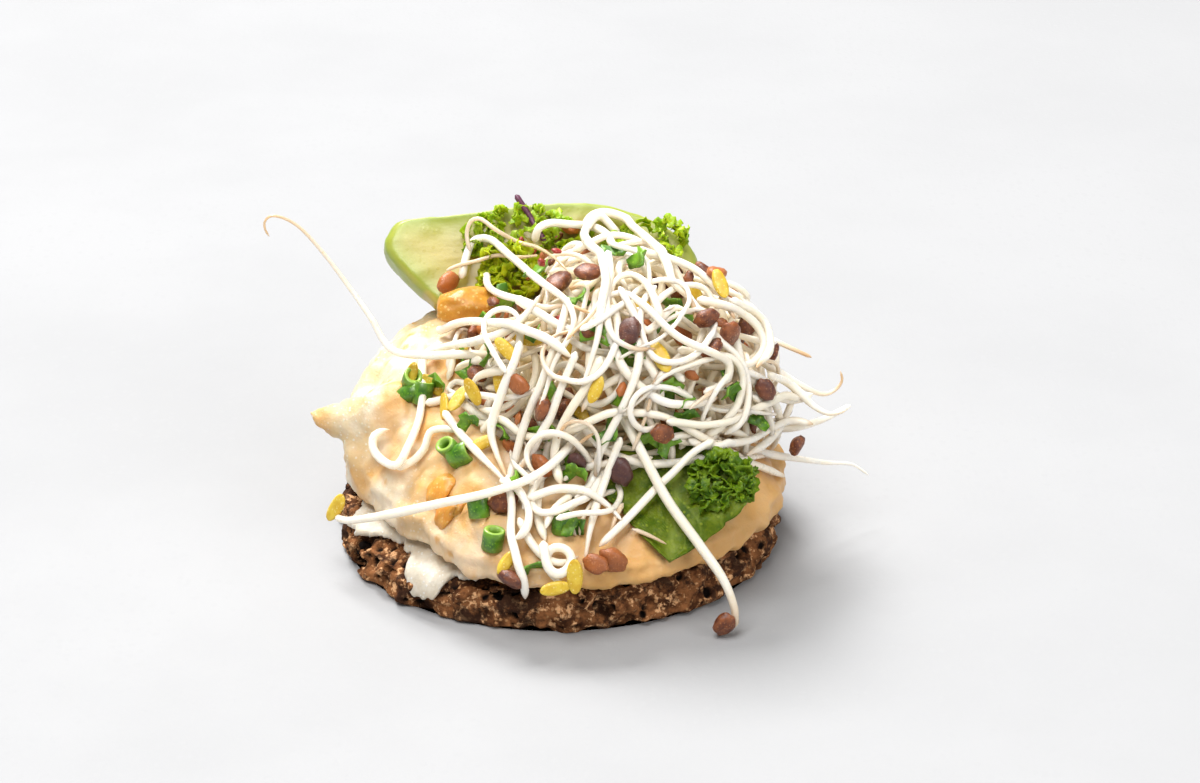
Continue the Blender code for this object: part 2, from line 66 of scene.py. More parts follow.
Sight = tuple[float, float]  # millimetres to the right and up, in the plane through the camera's target


class Slot(Enum):
    """The record's material slots."""

    BREAD = "bread"
    CHEESE = "cream_cheese"
    SPREAD = "chickpea_spread"
    AVOCADO = "avocado"
    CHUNK = "orange_chunk"
    DARK_HERB = "dark_herb"
    HERB = "herb"
    SPROUTS = "sprouts"


class Layer(Enum):
    """How a stem lies in the heap, and how firmly it keeps its place while the heap settles."""

    SHOWN = 0.35
    DRAPED = 0.15
    LOOSE = 0.0
    REACHING = 0.9


# Node trees


class Graph:
    """Lays out one node tree, for a surface or for geometry."""

    def __init__(self, tree: Tree) -> None:
        """Keeps the tree.

        Args:
            tree: the shader or geometry node tree to build in.
        """
        self.tree = tree

    def plug(self, value: Any, socket: Socket) -> None:
        """Feeds a node input.

        Args:
            value: a node, for its first output, or a socket or a plain value.
            socket: the input.
        """
        if isinstance(value, bpy.types.Node):
            value = next(out for out in value.outputs if out.enabled)
        if isinstance(value, Socket):
            self.tree.links.new(value, socket)
        else:
            socket.default_value = value

    def add(self, kind: str, inputs: dict[Any, Any] | None = None, **settings: Any) -> bpy.types.Node:
        """Adds a node.

        Args:
            kind: the node's type name.
            inputs: input name or number, and what feeds it.
            **settings: the node's own properties.

        Returns:
            The new node.
        """
        node = self.tree.nodes.new(kind)
        for name, value in settings.items():
            setattr(node, name, value)
        for key, value in (inputs or {}).items():
            self.plug(value, node.inputs[key])
        return node

    def calc(self, operation: str, first: Any, second: Any = 0.0, third: Any = 0.0) -> Socket:
        """One step of arithmetic."""
        return self.add("ShaderNodeMath", {0: first, 1: second, 2: third}, operation=operation).outputs[0]

    def ease(self, value: Any, low: float, high: float, start: Any = 0.0,
             end: Any = 1.0) -> Socket:
        """Maps low..high smoothly to start..end, held beyond both."""
        inputs = {"Value": value, "From Min": low, "From Max": high, "To Min": start, "To Max": end}
        return self.add("ShaderNodeMapRange", inputs, interpolation_type="SMOOTHSTEP").outputs[0]

    def blend(self, share: Any, first: Any, second: Any) -> Socket:
        """Mixes two colours.

        Args:
            share: how much of the second one, from 0 to 1.
            first: a colour, plain or from a socket.
            second: the other one.

        Returns:
            The mixed colour.
        """
        colours = [(*c, 1.0) if isinstance(c, tuple) else c for c in (first, second)]
        inputs = {0: share, 6: colours[0], 7: colours[1]}
        return self.add("ShaderNodeMix", inputs, data_type="RGBA").outputs[2]

    def cloud(self, place: Any, size: Any, detail: float = 2.0, rough: float = 0.5) -> Socket:
        """Soft noise from 0 to 1.

        Args:
            place: the coordinates.
            size: about how wide its lumps are, in metres.
            detail: how many finer layers it has.
            rough: how strong those are.

        Returns:
            The noise.
        """
        scale = self.calc("DIVIDE", 1.0, size)
        inputs = {"Vector": place, "Scale": scale, "Detail": detail, "Roughness": rough}
        return self.add("ShaderNodeTexNoise", inputs).outputs[0]

    def attribute(self, name: str) -> Socket:
        """A named number of the mesh, for a surface."""
        return self.add("ShaderNodeAttribute", attribute_name=name).outputs["Fac"]

    def mark(self, name: str, kind: str = "FLOAT") -> Socket:
        """A named number or vector of the mesh, for geometry."""
        return self.add("GeometryNodeInputNamedAttribute", {"Name": name}, data_type=kind).outputs[0]

    def scaled(self, vector: Any, factor: Any) -> Socket:
        """A vector times a number."""
        return self.add("ShaderNodeVectorMath", {0: vector, "Scale": factor}, operation="SCALE").outputs[0]


def open_group(name: str, kind: str, inputs: dict[str, tuple[str, Any]],
               outputs: dict[str, str]) -> tuple[Graph, bpy.types.Node, bpy.types.Node]:
    """Starts a node group.

    Args:
        name: the group's name.
        kind: its tree type.
        inputs: input name to its socket type and starting value.
        outputs: output name to its socket type.

    Returns:
        The graph, its input node and its output node.
    """
    tree = bpy.data.node_groups.new(name, kind)
    for label, (socket, start) in inputs.items():
        item = tree.interface.new_socket(label, in_out="INPUT", socket_type=socket)
        if start is not None:
            item.default_value = start
    for label, socket in outputs.items():
        tree.interface.new_socket(label, in_out="OUTPUT", socket_type=socket)
    graph = Graph(tree)
    return graph, graph.add("NodeGroupInput"), graph.add("NodeGroupOutput")


def open_geometry(name: str, inputs: dict[str, tuple[str, Any]]) -> tuple[
        Graph, bpy.types.NodeOutputs, Callable[[Any], Tree]]:
    """Starts a group that changes a geometry, with the inputs Geometry and Finish besides its own.

    Args:
        name: the group's name.
        inputs: input name to its socket type and starting value.

    Returns:
        The graph, what the group is given, and a function that smooths, dresses and puts out a geometry.
    """
    inputs = {"Geometry": ("NodeSocketGeometry", None), **inputs, "Finish": ("NodeSocketMaterial", None)}
    graph, given, result = open_group(name, "GeometryNodeTree", inputs, {"Geometry": "NodeSocketGeometry"})

    def dressed(geometry: Any) -> Tree:
        """Ends the group.

        Args:
            geometry: what it puts out.

        Returns:
            The group's tree.
        """
        soft = graph.add("GeometryNodeSetShadeSmooth", {"Geometry": geometry})
        finish = given.outputs["Finish"]
        whole = graph.add("GeometryNodeSetMaterial", {"Geometry": soft, "Material": finish})
        graph.plug(whole, result.inputs["Geometry"])
        return graph.tree

    return graph, given.outputs, dressed


def mottle_group() -> Tree:
    """The uneven colour and fine relief that all the moist food shares.

    Returns:
        A group with the outputs Cloud, Speck and Relief.
    """
    name = "Food mottle"
    if name in bpy.data.node_groups:
        return bpy.data.node_groups[name]
    inputs = {"Patch size": ("NodeSocketFloat", 0.004), "Grain size": ("NodeSocketFloat", 0.0004),
              "Speck share": ("NodeSocketFloat", 0.35)}
    outputs = {"Cloud": "NodeSocketFloat", "Speck": "NodeSocketFloat", "Relief": "NodeSocketFloat"}
    graph, given, result = open_group(name, "ShaderNodeTree", inputs, outputs)
    place = graph.add("ShaderNodeTexCoord").outputs["Object"]
    cloud = graph.ease(graph.cloud(place, given.outputs["Patch size"], 4.0, 0.6), 0.34, 0.66)
    scale = graph.calc("DIVIDE", 1.0, given.outputs["Grain size"])
    cells = graph.add("ShaderNodeTexVoronoi", {"Vector": place, "Scale": scale})
    tone = graph.add("ShaderNodeSeparateColor", {0: cells.outputs["Color"]}).outputs[0]
    speck = graph.calc("LESS_THAN", tone, given.outputs["Speck share"])
    speck = graph.calc("MULTIPLY", speck, graph.ease(cells.outputs["Distance"], 0.25, 0.5, 1.0, 0.0))
    fine = graph.cloud(place, graph.calc("MULTIPLY", given.outputs["Grain size"], 0.8), 3.0, 0.6)
    relief = graph.calc("ADD", fine, graph.calc("MULTIPLY", speck, 0.35))
    for label, socket in (("Cloud", cloud), ("Speck", speck), ("Relief", relief)):
        graph.plug(socket, result.inputs[label])
    return graph.tree


@dataclass(frozen=True)
class Finish:
    """A food surface of three mixed colours with fine relief.

    The pale and deep colours mix in patches, specks of a third colour lie in it, and the named mark of the
    mesh, if there is one, turns it towards a fourth. Patches, grain, relief and the reach of the glow are in
    millimetres.
    """

    name: str
    pale: Colour
    deep: Colour
    speck: Colour
    roughness: float
    patch: float = 4.0
    grain: float = 0.4
    specks: float = 0.3
    relief: float = 0.05
    glow: float = 0.0
    glow_colour: Colour = (1.0, 0.8, 0.6)
    glow_reach: float = 1.0
    coat: float = 0.0
    gloss: float = 0.5
    mark: str = ""
    marked: Colour = (0.0, 0.0, 0.0)
    swing: float = 0.12
    bump: float = 0.8
    coat_roughness: float = 0.25

    def material(self) -> bpy.types.Material:
        """Builds the material.

        Returns:
            The new material.
        """
        material = bpy.data.materials.new(self.name)
        material.use_nodes = True
        graph = Graph(material.node_tree)
        shader = material.node_tree.nodes["Principled BSDF"]
        sizes = {"Patch size": self.patch * MM, "Grain size": self.grain * MM, "Speck share": self.specks}
        mottle = graph.add("ShaderNodeGroup", node_tree=mottle_group())
        for label, value in sizes.items():
            mottle.inputs[label].default_value = value
        colour = graph.blend(mottle.outputs["Cloud"], self.pale, self.deep)
        colour = graph.blend(mottle.outputs["Speck"], colour, self.speck)
        # The mark's colour is the thing's own on the avocado skin, leaf veins and chive cuts, and painted
        # shade in the hollows of the rye and the spread.
        if self.mark:
            colour = graph.blend(graph.attribute(self.mark), colour, self.marked)
        uneven = graph.calc("MULTIPLY", mottle.outputs["Cloud"], self.swing)
        relief = {"Strength": self.bump, "Distance": self.relief * MM, "Height": mottle.outputs["Relief"]}
        for label, value in {
            "Base Color": self.tinted(graph, colour),
            "Roughness": graph.calc("ADD", self.roughness - 0.5 * self.swing, uneven),
            "Normal": graph.add("ShaderNodeBump", relief),
            "Subsurface Weight": self.glow,
            "Subsurface Radius": self.glow_colour,
            "Subsurface Scale": self.glow_reach * MM,
            "Specular IOR Level": self.gloss,
            "Coat Weight": self.coat,
            "Coat Roughness": self.coat_roughness,
        }.items():
            graph.plug(value, shader.inputs[label])
        return material

    def tinted(self, graph: Graph, colour: Socket) -> Socket:
        """The last change to the colour, which a finish of its own kind adds."""
        return colour


@dataclass(frozen=True)
class RyeFinish(Finish):
    """Dark rye crumb: reddish brown with pale grains, and nearly black painted shade in its hollows."""

    grains: Colour = (0.80, 0.45, 0.22)
    char: Colour = (0.028, 0.011, 0.006)
    # pit is painted shade: the crumb's hollows go nearly black.
    pit: Colour = (0.006, 0.003, 0.002)

    def tinted(self, graph: Graph, colour: Socket) -> Socket:
        """Adds broken pale grains and streaks, and paints near-black shade into the hollows.

        Args:
            graph: the material's tree.
            colour: the colour so far.

        Returns:
            The colour with grains in it.
        """
        place = graph.add("ShaderNodeTexCoord").outputs["Object"]
        hollow = graph.attribute("hollow")
        flake = graph.ease(graph.cloud(place, 1.1 * MM, 3.0, 0.7), 0.53, 0.63)
        flake = graph.calc("MULTIPLY", flake, graph.ease(hollow, 0.1, 0.6, 1.0, 0.0))
        colour = graph.blend(flake, colour, self.grains)
        char = graph.ease(graph.cloud(place, 2.8 * MM, 5.0, 0.7), 0.47, 0.6, 0.0, 0.9)
        colour = graph.blend(char, colour, self.char)
        # Painted shade: where the mark hollow shows a pit, the crumb goes nearly black.
        return graph.blend(graph.ease(hollow, 0.15, 0.6), colour, self.pit)


@dataclass(frozen=True)
class StemFinish(Finish):
    """White, moist and translucent, turning to the colour of a root towards one end."""

    root: Colour = (0.56, 0.33, 0.16)
    # inner is painted warm shade for stems that lie deep in the heap.
    inner: Colour = (0.99, 0.80, 0.51)

    def tinted(self, graph: Graph, colour: Socket) -> Socket:
        """Browns a stem towards its root, paints warm shade on it deep in the heap, and varies stems by
        their tone.

        Args:
            graph: the material's tree.
            colour: the colour so far.

        Returns:
            The colour along the stem.
        """
        colour = graph.blend(graph.ease(graph.attribute("tone"), 0.45, 1.0, 0.0, 0.45), colour, self.speck)
        # Painted shade: stems deep in the heap turn warm tan.
        colour = graph.blend(graph.calc("MULTIPLY", graph.attribute("deep"), 0.85), colour, self.inner)
        return graph.blend(graph.attribute("root"), colour, self.root)


@dataclass(frozen=True)
class HerbFinish(Finish):
    """A waxy leaf that lets a little green light through."""

    roughness: float = 0.42
    patch: float = 1.4
    grain: float = 0.3
    relief: float = 0.04
    glow: float = 0.15
    glow_colour: Colour = (0.4, 0.9, 0.1)
    glow_reach: float = 0.5
    gloss: float = 0.25


@dataclass(frozen=True)
class HuskFinish(Finish):
    """Seed hulls from rust brown to nearly black, each by its own shade."""

    rust: Colour = (0.50, 0.15, 0.03)
    dark: Colour = (0.05, 0.018, 0.02)

    def tinted(self, graph: Graph, colour: Socket) -> Socket:
        """Turns one copy towards rust and another towards black.

        Args:
            graph: the material's tree.
            colour: the colour so far.

        Returns:
            The copy's colour.
        """
        tone = graph.attribute("tone")
        colour = graph.blend(graph.ease(tone, 0.45, 0.85, 0.0, 0.8), colour, self.rust)
        return graph.blend(graph.ease(tone, 0.02, 0.22, 0.85, 0.0), colour, self.dark)


# marked is painted shade: the hollows of the crumb go nearly black.
RYE = RyeFinish(
    "Rye crumb", pale=(0.317, 0.128, 0.046), deep=(0.07, 0.024, 0.009), speck=(0.458, 0.229, 0.097),
    roughness=0.85, patch=1.6, grain=0.55, relief=0.25, gloss=0.12, mark="hollow",
    marked=(0.016, 0.008, 0.005))
CHEESE = Finish(
    "Cream cheese", pale=(0.70, 0.645, 0.54), deep=(0.62, 0.54, 0.415), speck=(0.739, 0.713, 0.66),
    roughness=0.45, patch=1.6, grain=0.35, specks=0.2, relief=0.08, glow=0.3)
# marked is painted orange shade in the spread's folds and hollows, and also its deeper tint to the right and
# low down.
SPREAD = Finish(
    "Chickpea spread", pale=(0.755, 0.685, 0.55), deep=(0.68, 0.50, 0.26), speck=(0.75, 0.68, 0.53),
    roughness=0.5, patch=7.0, grain=0.36, specks=0.22, relief=0.07, glow=0.25, glow_colour=(1.0, 0.6, 0.3),
    glow_reach=1.2, mark="hollow", marked=(0.65, 0.35, 0.10))
AVOCADO_FLESH = Finish(
    "Avocado flesh", pale=(0.475, 0.372, 0.072), deep=(0.51, 0.42, 0.114), speck=(0.462, 0.363, 0.068),
    roughness=0.38, patch=3.0, grain=0.5, specks=0.2, relief=0.03, glow=0.25, glow_colour=(0.8, 0.9, 0.3),
    coat=0.15, mark="skin", marked=(0.26, 0.37, 0.028))
CHUNK = Finish(
    "Orange chunk", pale=(0.581, 0.273, 0.026), deep=(0.475, 0.194, 0.012), speck=(0.651, 0.405, 0.106),
    roughness=0.4, patch=1.6, relief=0.06, glow=0.3, glow_colour=(1.0, 0.5, 0.2))
DROP = Finish(
    "Orange drop", pale=(0.634, 0.317, 0.053), deep=(0.581, 0.229, 0.026), speck=(0.669, 0.405, 0.132),
    roughness=0.35, patch=1.2, grain=0.3, relief=0.03, glow=0.3, glow_colour=(1.0, 0.5, 0.2))
BRIGHT_HERB = HerbFinish(
    "Bright parsley", pale=(0.37, 0.484, 0.009), deep=(0.202, 0.334, 0.005), speck=(0.422, 0.51, 0.022),
    glow=0.2)
LIME_HERB = HerbFinish(
    "Lime parsley", pale=(0.51, 0.56, 0.009), deep=(0.32, 0.42, 0.005), speck=(0.53, 0.57, 0.022),
    glow=0.2)
DARK_HERB = HerbFinish(
    "Dark parsley", pale=(0.167, 0.264, 0.007), deep=(0.053, 0.123, 0.004), speck=(0.22, 0.317, 0.012),
    patch=1.5, relief=0.05)
FRONT_LEAF = HerbFinish(
    "Front leaf", pale=(0.134, 0.18, 0.006), deep=(0.053, 0.098, 0.003), speck=(0.17, 0.22, 0.014),
    patch=1.8, grain=0.45, relief=0.14, gloss=0.15, mark="vein", marked=(0.24, 0.30, 0.042))
CHIVE = Finish(
    "Chive", pale=(0.088, 0.246, 0.007), deep=(0.031, 0.123, 0.004), speck=(0.132, 0.317, 0.011),
    roughness=0.35, patch=0.9, grain=0.25, relief=0.03, coat=0.2, mark="cut", marked=(0.308, 0.484, 0.07))
PURPLE = Finish(
    "Purple stem", pale=(0.141, 0.044, 0.088), deep=(0.079, 0.018, 0.044), speck=(0.211, 0.079, 0.106),
    roughness=0.4, patch=0.8, grain=0.2, relief=0.02)
RED_BIT = Finish(
    "Red bit", pale=(0.44, 0.044, 0.026), deep=(0.282, 0.018, 0.018), speck=(0.546, 0.106, 0.07),
    roughness=0.35, patch=0.6, grain=0.2, relief=0.03, coat=0.2)
STEM = StemFinish(
    "Sprout stem", pale=(0.93, 0.865, 0.755), deep=(0.93, 0.825, 0.66), speck=(0.93, 0.80, 0.58),
    roughness=0.3, patch=2.2, grain=0.35, specks=0.12, relief=0.02, glow=0.6, glow_colour=(0.95, 1.0, 1.0),
    glow_reach=1.3, coat=0.12)
HULL = HuskFinish(
    "Seed hull", pale=(0.264, 0.075, 0.019), deep=(0.106, 0.026, 0.011), speck=(0.352, 0.132, 0.044),
    roughness=0.42, patch=0.9, grain=0.25, relief=0.09, coat=0.12)
GREEN_BIT = HerbFinish(
    "Green bit", pale=(0.176, 0.352, 0.018), deep=(0.048, 0.15, 0.005), speck=(0.229, 0.405, 0.026),
    patch=3.5, gloss=0.5)
SEED_LEAF = Finish(
    "Seed leaf", pale=(0.704, 0.51, 0.053), deep=(0.598, 0.37, 0.018), speck=(0.739, 0.598, 0.176),
    roughness=0.38, patch=0.9, grain=0.25, relief=0.03, glow=0.25, glow_colour=(1.0, 0.8, 0.2),
    glow_reach=0.5)
TABLE = Finish(
    "Table", pale=(0.362, 0.362, 0.366), deep=(0.35, 0.35, 0.354), speck=(0.355, 0.355, 0.359),
    roughness=0.85, patch=60.0, grain=1.1, relief=0.03)


# Shapes


def noisy(point: Vector, size: float, seed: float = 0.0) -> float:
    """Smooth noise from -1 to 1 at a point in millimetres, with lumps about size millimetres across."""
    return noise.noise(point / size + Vector((seed, 2.3 * seed, -seed)))


def around(azimuth: float, radius: float, height: float) -> Vector:
    """The point at an azimuth in degrees, a radius and a height."""
    angle = math.radians(azimuth)
    return Vector((radius * math.cos(angle), radius * math.sin(angle), height))


def azimuths(count: int) -> list[float]:
    """Evenly spaced azimuths in degrees."""
    return [360.0 * i / count for i in range(count)]


def eased(azimuth: float, table: Sequence[tuple[float, float]]) -> float:
    """The value at an azimuth in degrees, eased between the rows of a table of azimuth and value.

    Args:
        azimuth: degrees, any turn.
        table: rows from 0 to 360 degrees.

    Returns:
        The value there.
    """
    azimuth %= 360.0
    for (low, first), (high, last) in zip(table, table[1:]):
        if low <= azimuth <= high:
            share = (azimuth - low) / (high - low)
            return first + (last - first) * share * share * (3 - 2 * share)
    return table[-1][1]


def hump(azimuth: float, centre: float, half_width: float) -> float:
    """A smooth bump round the circle, 1 at the centre azimuth."""
    away = (azimuth - centre + 180.0) % 360.0 - 180.0
    return math.exp(-((away / half_width) ** 2))


def smooth(points: Sequence[Vector], steps: int) -> list[Vector]:
    """A Catmull-Rom curve through the points, as steps + 1 evenly numbered places.

    Args:
        points: the points that the curve passes through.
        steps: how many steps to take along it.

    Returns:
        The places.
    """
    ends = [points[0] * 2 - points[1], *points, points[-1] * 2 - points[-2]]
    route = []
    for step in range(steps + 1):
        at = step * (len(points) - 1) / steps
        k = min(int(at), len(points) - 2)
        t = at - k
        a, b, c, d = ends[k:k + 4]
        route.append(0.5 * ((2 * b) + (c - a) * t + (2 * a - 5 * b + 4 * c - d) * t * t
                            + (3 * b - a - 3 * c + d) * t ** 3))
    return route


def quads(rows: int, count: int, ring: bool = False) -> list[tuple[int, ...]]:
    """Four-cornered faces between rings of points.

    Args:
        rows: how many rings there are.
        count: how many points each has.
        ring: whether the last ring joins the first.

    Returns:
        The faces.
    """
    faces = []
    for row in range(rows if ring else rows - 1):
        low, high = row * count, (row + 1) % rows * count
        faces += [(low + i, low + (i + 1) % count, high + (i + 1) % count, high + i) for i in range(count)]
    return faces


def mark_points(mesh: Mesh, name: str, values: Sequence[float]) -> None:
    """Gives each point of a mesh a named number.

    Args:
        mesh: the mesh, changed in place.
        name: the mark's name.
        values: one number a point.
    """
    layer = mesh.attributes.new(name, "FLOAT", "POINT")
    layer.data.foreach_set("value", np.asarray(values, dtype=np.float32))


def mesh_of(name: str, points: Iterable[Sequence[float]], faces: Sequence[Sequence[int]],
            marks: dict[str, Sequence[float]] | None = None,
            edges: Sequence[tuple[int, int]] = ()) -> Mesh:
    """A mesh from points in millimetres, with named numbers on its points.

    Args:
        name: the mesh's name.
        points: the corners.
        faces: each face's corner numbers.
        marks: name to one number a point.
        edges: loose edges, for a mesh that is only lines.

    Returns:
        The mesh, in metres.
    """
    mesh = bpy.data.meshes.new(name)
    mesh.from_pydata([tuple(c * MM for c in p) for p in points], list(edges), faces)
    for label, values in (marks or {}).items():
        mark_points(mesh, label, values)
    mesh.update()
    return mesh


def lofted(rings: Sequence[Sequence[Vector]]) -> tuple[list[Vector], list[tuple[int, ...]]]:
    """A closed surface through rings of points, each anticlockwise seen from the last one.

    Args:
        rings: rings of as many points each.

    Returns:
        The points and the faces.
    """
    count = len(rings[0])
    points = [point for ring in rings for point in ring]
    first, last = sum(rings[0], Vector()) / count, sum(rings[-1], Vector()) / count
    faces: list[tuple[int, ...]] = []
    top = len(points) - count
    for i in range(count):
        j = (i + 1) % count
        faces.append((len(points), j, i))
        faces.append((len(points) + 1, top + i, top + j))
    return [*points, first, last], faces + quads(len(rings), count)


def show(name: str, mesh: Mesh, material: bpy.types.Material | None = None) -> Item:
    """Puts a mesh in the scene as a smooth object.

    Args:
        name: the object's name.
        mesh: its mesh.
        material: its finish, if it has one yet.

    Returns:
        The object.
    """
    item = bpy.data.objects.new(name, mesh)
    bpy.context.scene.collection.objects.link(item)
    if material:
        mesh.materials.clear()
        mesh.materials.append(material)
    mesh.shade_smooth()
    return item


def settled_mesh(item: Item) -> None:
    """Makes an object's modifiers its mesh, and removes them.

    Args:
        item: the object, changed in place.
    """
    graph = bpy.context.evaluated_depsgraph_get()
    mesh = bpy.data.meshes.new_from_object(item.evaluated_get(graph), depsgraph=graph)
    item.modifiers.clear()
    item.data = mesh


def turned_out(mesh: Mesh, merge: bool = False) -> None:
    """Turns a mesh's faces outwards.

    Args:
        mesh: the mesh, changed in place.
        merge: whether its doubled points are joined first.
    """
    work = bmesh.new()
    work.from_mesh(mesh)
    if merge:
        bmesh.ops.remove_doubles(work, verts=work.verts, dist=0.001 * MM)
    bmesh.ops.recalc_face_normals(work, faces=work.faces)
    work.to_mesh(mesh)
    work.free()


def ball(name: str, rows: int, sides: int, shape: Callable[[Vector, float], Vector]) -> Item:
    """A closed body that a rule shapes from a ball of radius 1.

    Args:
        name: the object's name.
        rows: rings from end to end.
        sides: points round each ring.
        shape: gives the place in millimetres for a point of the ball and its azimuth.

    Returns:
        The object.
    """
    rings = []
    for row in range(rows):
        level = -math.cos(math.pi * (row + 0.5) / rows)
        width = math.sqrt(1.0 - level * level)
        rings.append([shape(around(azimuth, width, level), azimuth) for azimuth in azimuths(sides)])
    return show(name, mesh_of(name, *lofted(rings)))


def pebble(name: str, half: Place, rough: float, seed: float, rows: int = 18,
           sides: int = 28) -> Item:
    """A rounded irregular body about the origin.

    Args:
        name: the object's name.
        half: its half sizes in millimetres.
        rough: how uneven it is, as a share of its size.
        seed: which noise it takes.
        rows: rings from end to end.
        sides: points round each ring.

    Returns:
        The object.
    """
    def shape(flat: Vector, _: float) -> Vector:
        """The uneven, stretched ball."""
        flat = flat * (1.0 + rough * noisy(flat, 0.8, seed) + 0.4 * rough * noisy(flat, 0.35, seed))
        return Vector((flat.x * half[0], flat.y * half[1], flat.z * half[2]))

    return ball(name, rows, sides, shape)


def grown(name: str, mesh: Mesh, tree: Tree, values: dict[str, Any]) -> Item:
    """Runs a geometry node tree on a mesh and keeps the result as a plain mesh.

    Args:
        name: the new object's name.
        mesh: what the tree starts from.
        tree: the geometry node tree.
        values: input name to value.

    Returns:
        The object, with no modifier left.
    """
    item = bpy.data.objects.new(name, mesh)
    bpy.context.scene.collection.objects.link(item)
    modifier = item.modifiers.new("Grow", "NODES")
    modifier.node_group = tree
    for socket in tree.interface.items_tree:
        if socket.item_type == "SOCKET" and socket.in_out == "INPUT" and socket.name in values:
            modifier[socket.identifier] = values[socket.name]
    settled_mesh(item)
    return item


def relief_tree() -> Tree:
    """Geometry nodes that roughen a surface with lumps, grain and pits, where its mark "loose" lets them.

    The mark "hollow" keeps where the pits are; a second pass adds to it.

    Returns:
        The tree.
    """
    lengths = {"Lump size": 4.0, "Lump height": 0.2, "Grain size": 0.6, "Grain height": 0.1,
               "Pit size": 2.0, "Pit depth": 0.0}
    inputs = {name: ("NodeSocketFloat", length * MM) for name, length in lengths.items()}
    graph, take, dressed = open_geometry("Food relief", inputs)
    place = graph.add("GeometryNodeInputPosition").outputs[0]
    lump = graph.calc("MULTIPLY_ADD", graph.cloud(place, take["Lump size"]), 2.0, -1.0)
    grain = graph.calc("MULTIPLY_ADD", graph.cloud(place, take["Grain size"], 3.0, 0.6), 2.0, -1.0)
    scale = graph.calc("DIVIDE", 1.0, take["Pit size"])
    warp = graph.add("ShaderNodeTexNoise", {"Vector": place, "Scale": scale}).outputs["Color"]
    bent = graph.add("ShaderNodeVectorMath", {0: place, 1: graph.scaled(warp, 1.2 * MM)}, operation="ADD")
    cells = graph.add("ShaderNodeTexVoronoi", {"Vector": bent.outputs[0], "Scale": scale})
    choice = graph.add("ShaderNodeSeparateXYZ", {0: cells.outputs["Color"]}).outputs[0]
    pit = graph.ease(cells.outputs["Distance"], 0.12, 0.42, 1.0, 0.0)
    pit = graph.calc("MULTIPLY", pit, graph.ease(choice, 0.35, 0.6))
    total = graph.calc("MULTIPLY", lump, take["Lump height"])
    total = graph.calc("ADD", total, graph.calc("MULTIPLY", grain, take["Grain height"]))
    total = graph.calc("SUBTRACT", total, graph.calc("MULTIPLY", pit, take["Pit depth"]))
    loose = graph.mark("loose")
    normal = graph.add("GeometryNodeInputNormal").outputs[0]
    offset = graph.scaled(normal, graph.calc("MULTIPLY", total, loose))
    # hollow gathers the pits, which the rye and spread finishes darken as painted shade.
    hollow = graph.calc("MAXIMUM", graph.calc("MULTIPLY", pit, loose), graph.mark("hollow"))
    marked = {"Geometry": take["Geometry"], "Name": "hollow", "Value": hollow}
    kept = graph.add("GeometryNodeStoreNamedAttribute", marked, data_type="FLOAT", domain="POINT")
    return dressed(graph.add("GeometryNodeSetPosition", {"Geometry": kept, "Offset": offset}))


def tube_tree() -> Tree:
    """Geometry nodes that turn lines with a mark "girth" into tapered round tubes.

    Returns:
        The tree.
    """
    inputs = {"Sides": ("NodeSocketInt", 8), "Step": ("NodeSocketFloat", 0.6 * MM)}
    graph, take, dressed = open_geometry("Stem tubes", inputs)
    lines = graph.add("GeometryNodeMeshToCurve", {"Mesh": take["Geometry"]})
    soft = graph.add("GeometryNodeCurveSplineType", {"Curve": lines}, spline_type="CATMULL_ROM")
    even = graph.add("GeometryNodeResampleCurve", {"Curve": soft, "Length": take["Step"]}, mode="LENGTH")
    ring = graph.add("GeometryNodeCurvePrimitiveCircle", {"Resolution": take["Sides"], "Radius": 1.0})
    return dressed(graph.add("GeometryNodeCurveToMesh", {
        "Curve": even, "Profile Curve": ring.outputs["Curve"], "Scale": graph.mark("girth"),
        "Fill Caps": True}))


def scatter_tree() -> Tree:
    """Geometry nodes that set a copy of one small piece on every point, by its marks "turn" and "size".

    Returns:
        The tree.
    """
    graph, take, dressed = open_geometry("Scattered", {"Piece": ("NodeSocketObject", None)})
    spots = graph.add("GeometryNodeMeshToPoints", {"Mesh": take["Geometry"]})
    piece = graph.add("GeometryNodeObjectInfo", {"Object": take["Piece"]})
    turn, size = (graph.mark(name, "FLOAT_VECTOR") for name in ("turn", "size"))
    copies = graph.add("GeometryNodeInstanceOnPoints", {
        "Points": spots, "Instance": piece.outputs["Geometry"], "Rotation": turn, "Scale": size})
    return dressed(graph.add("GeometryNodeRealizeInstances", {"Geometry": copies}))


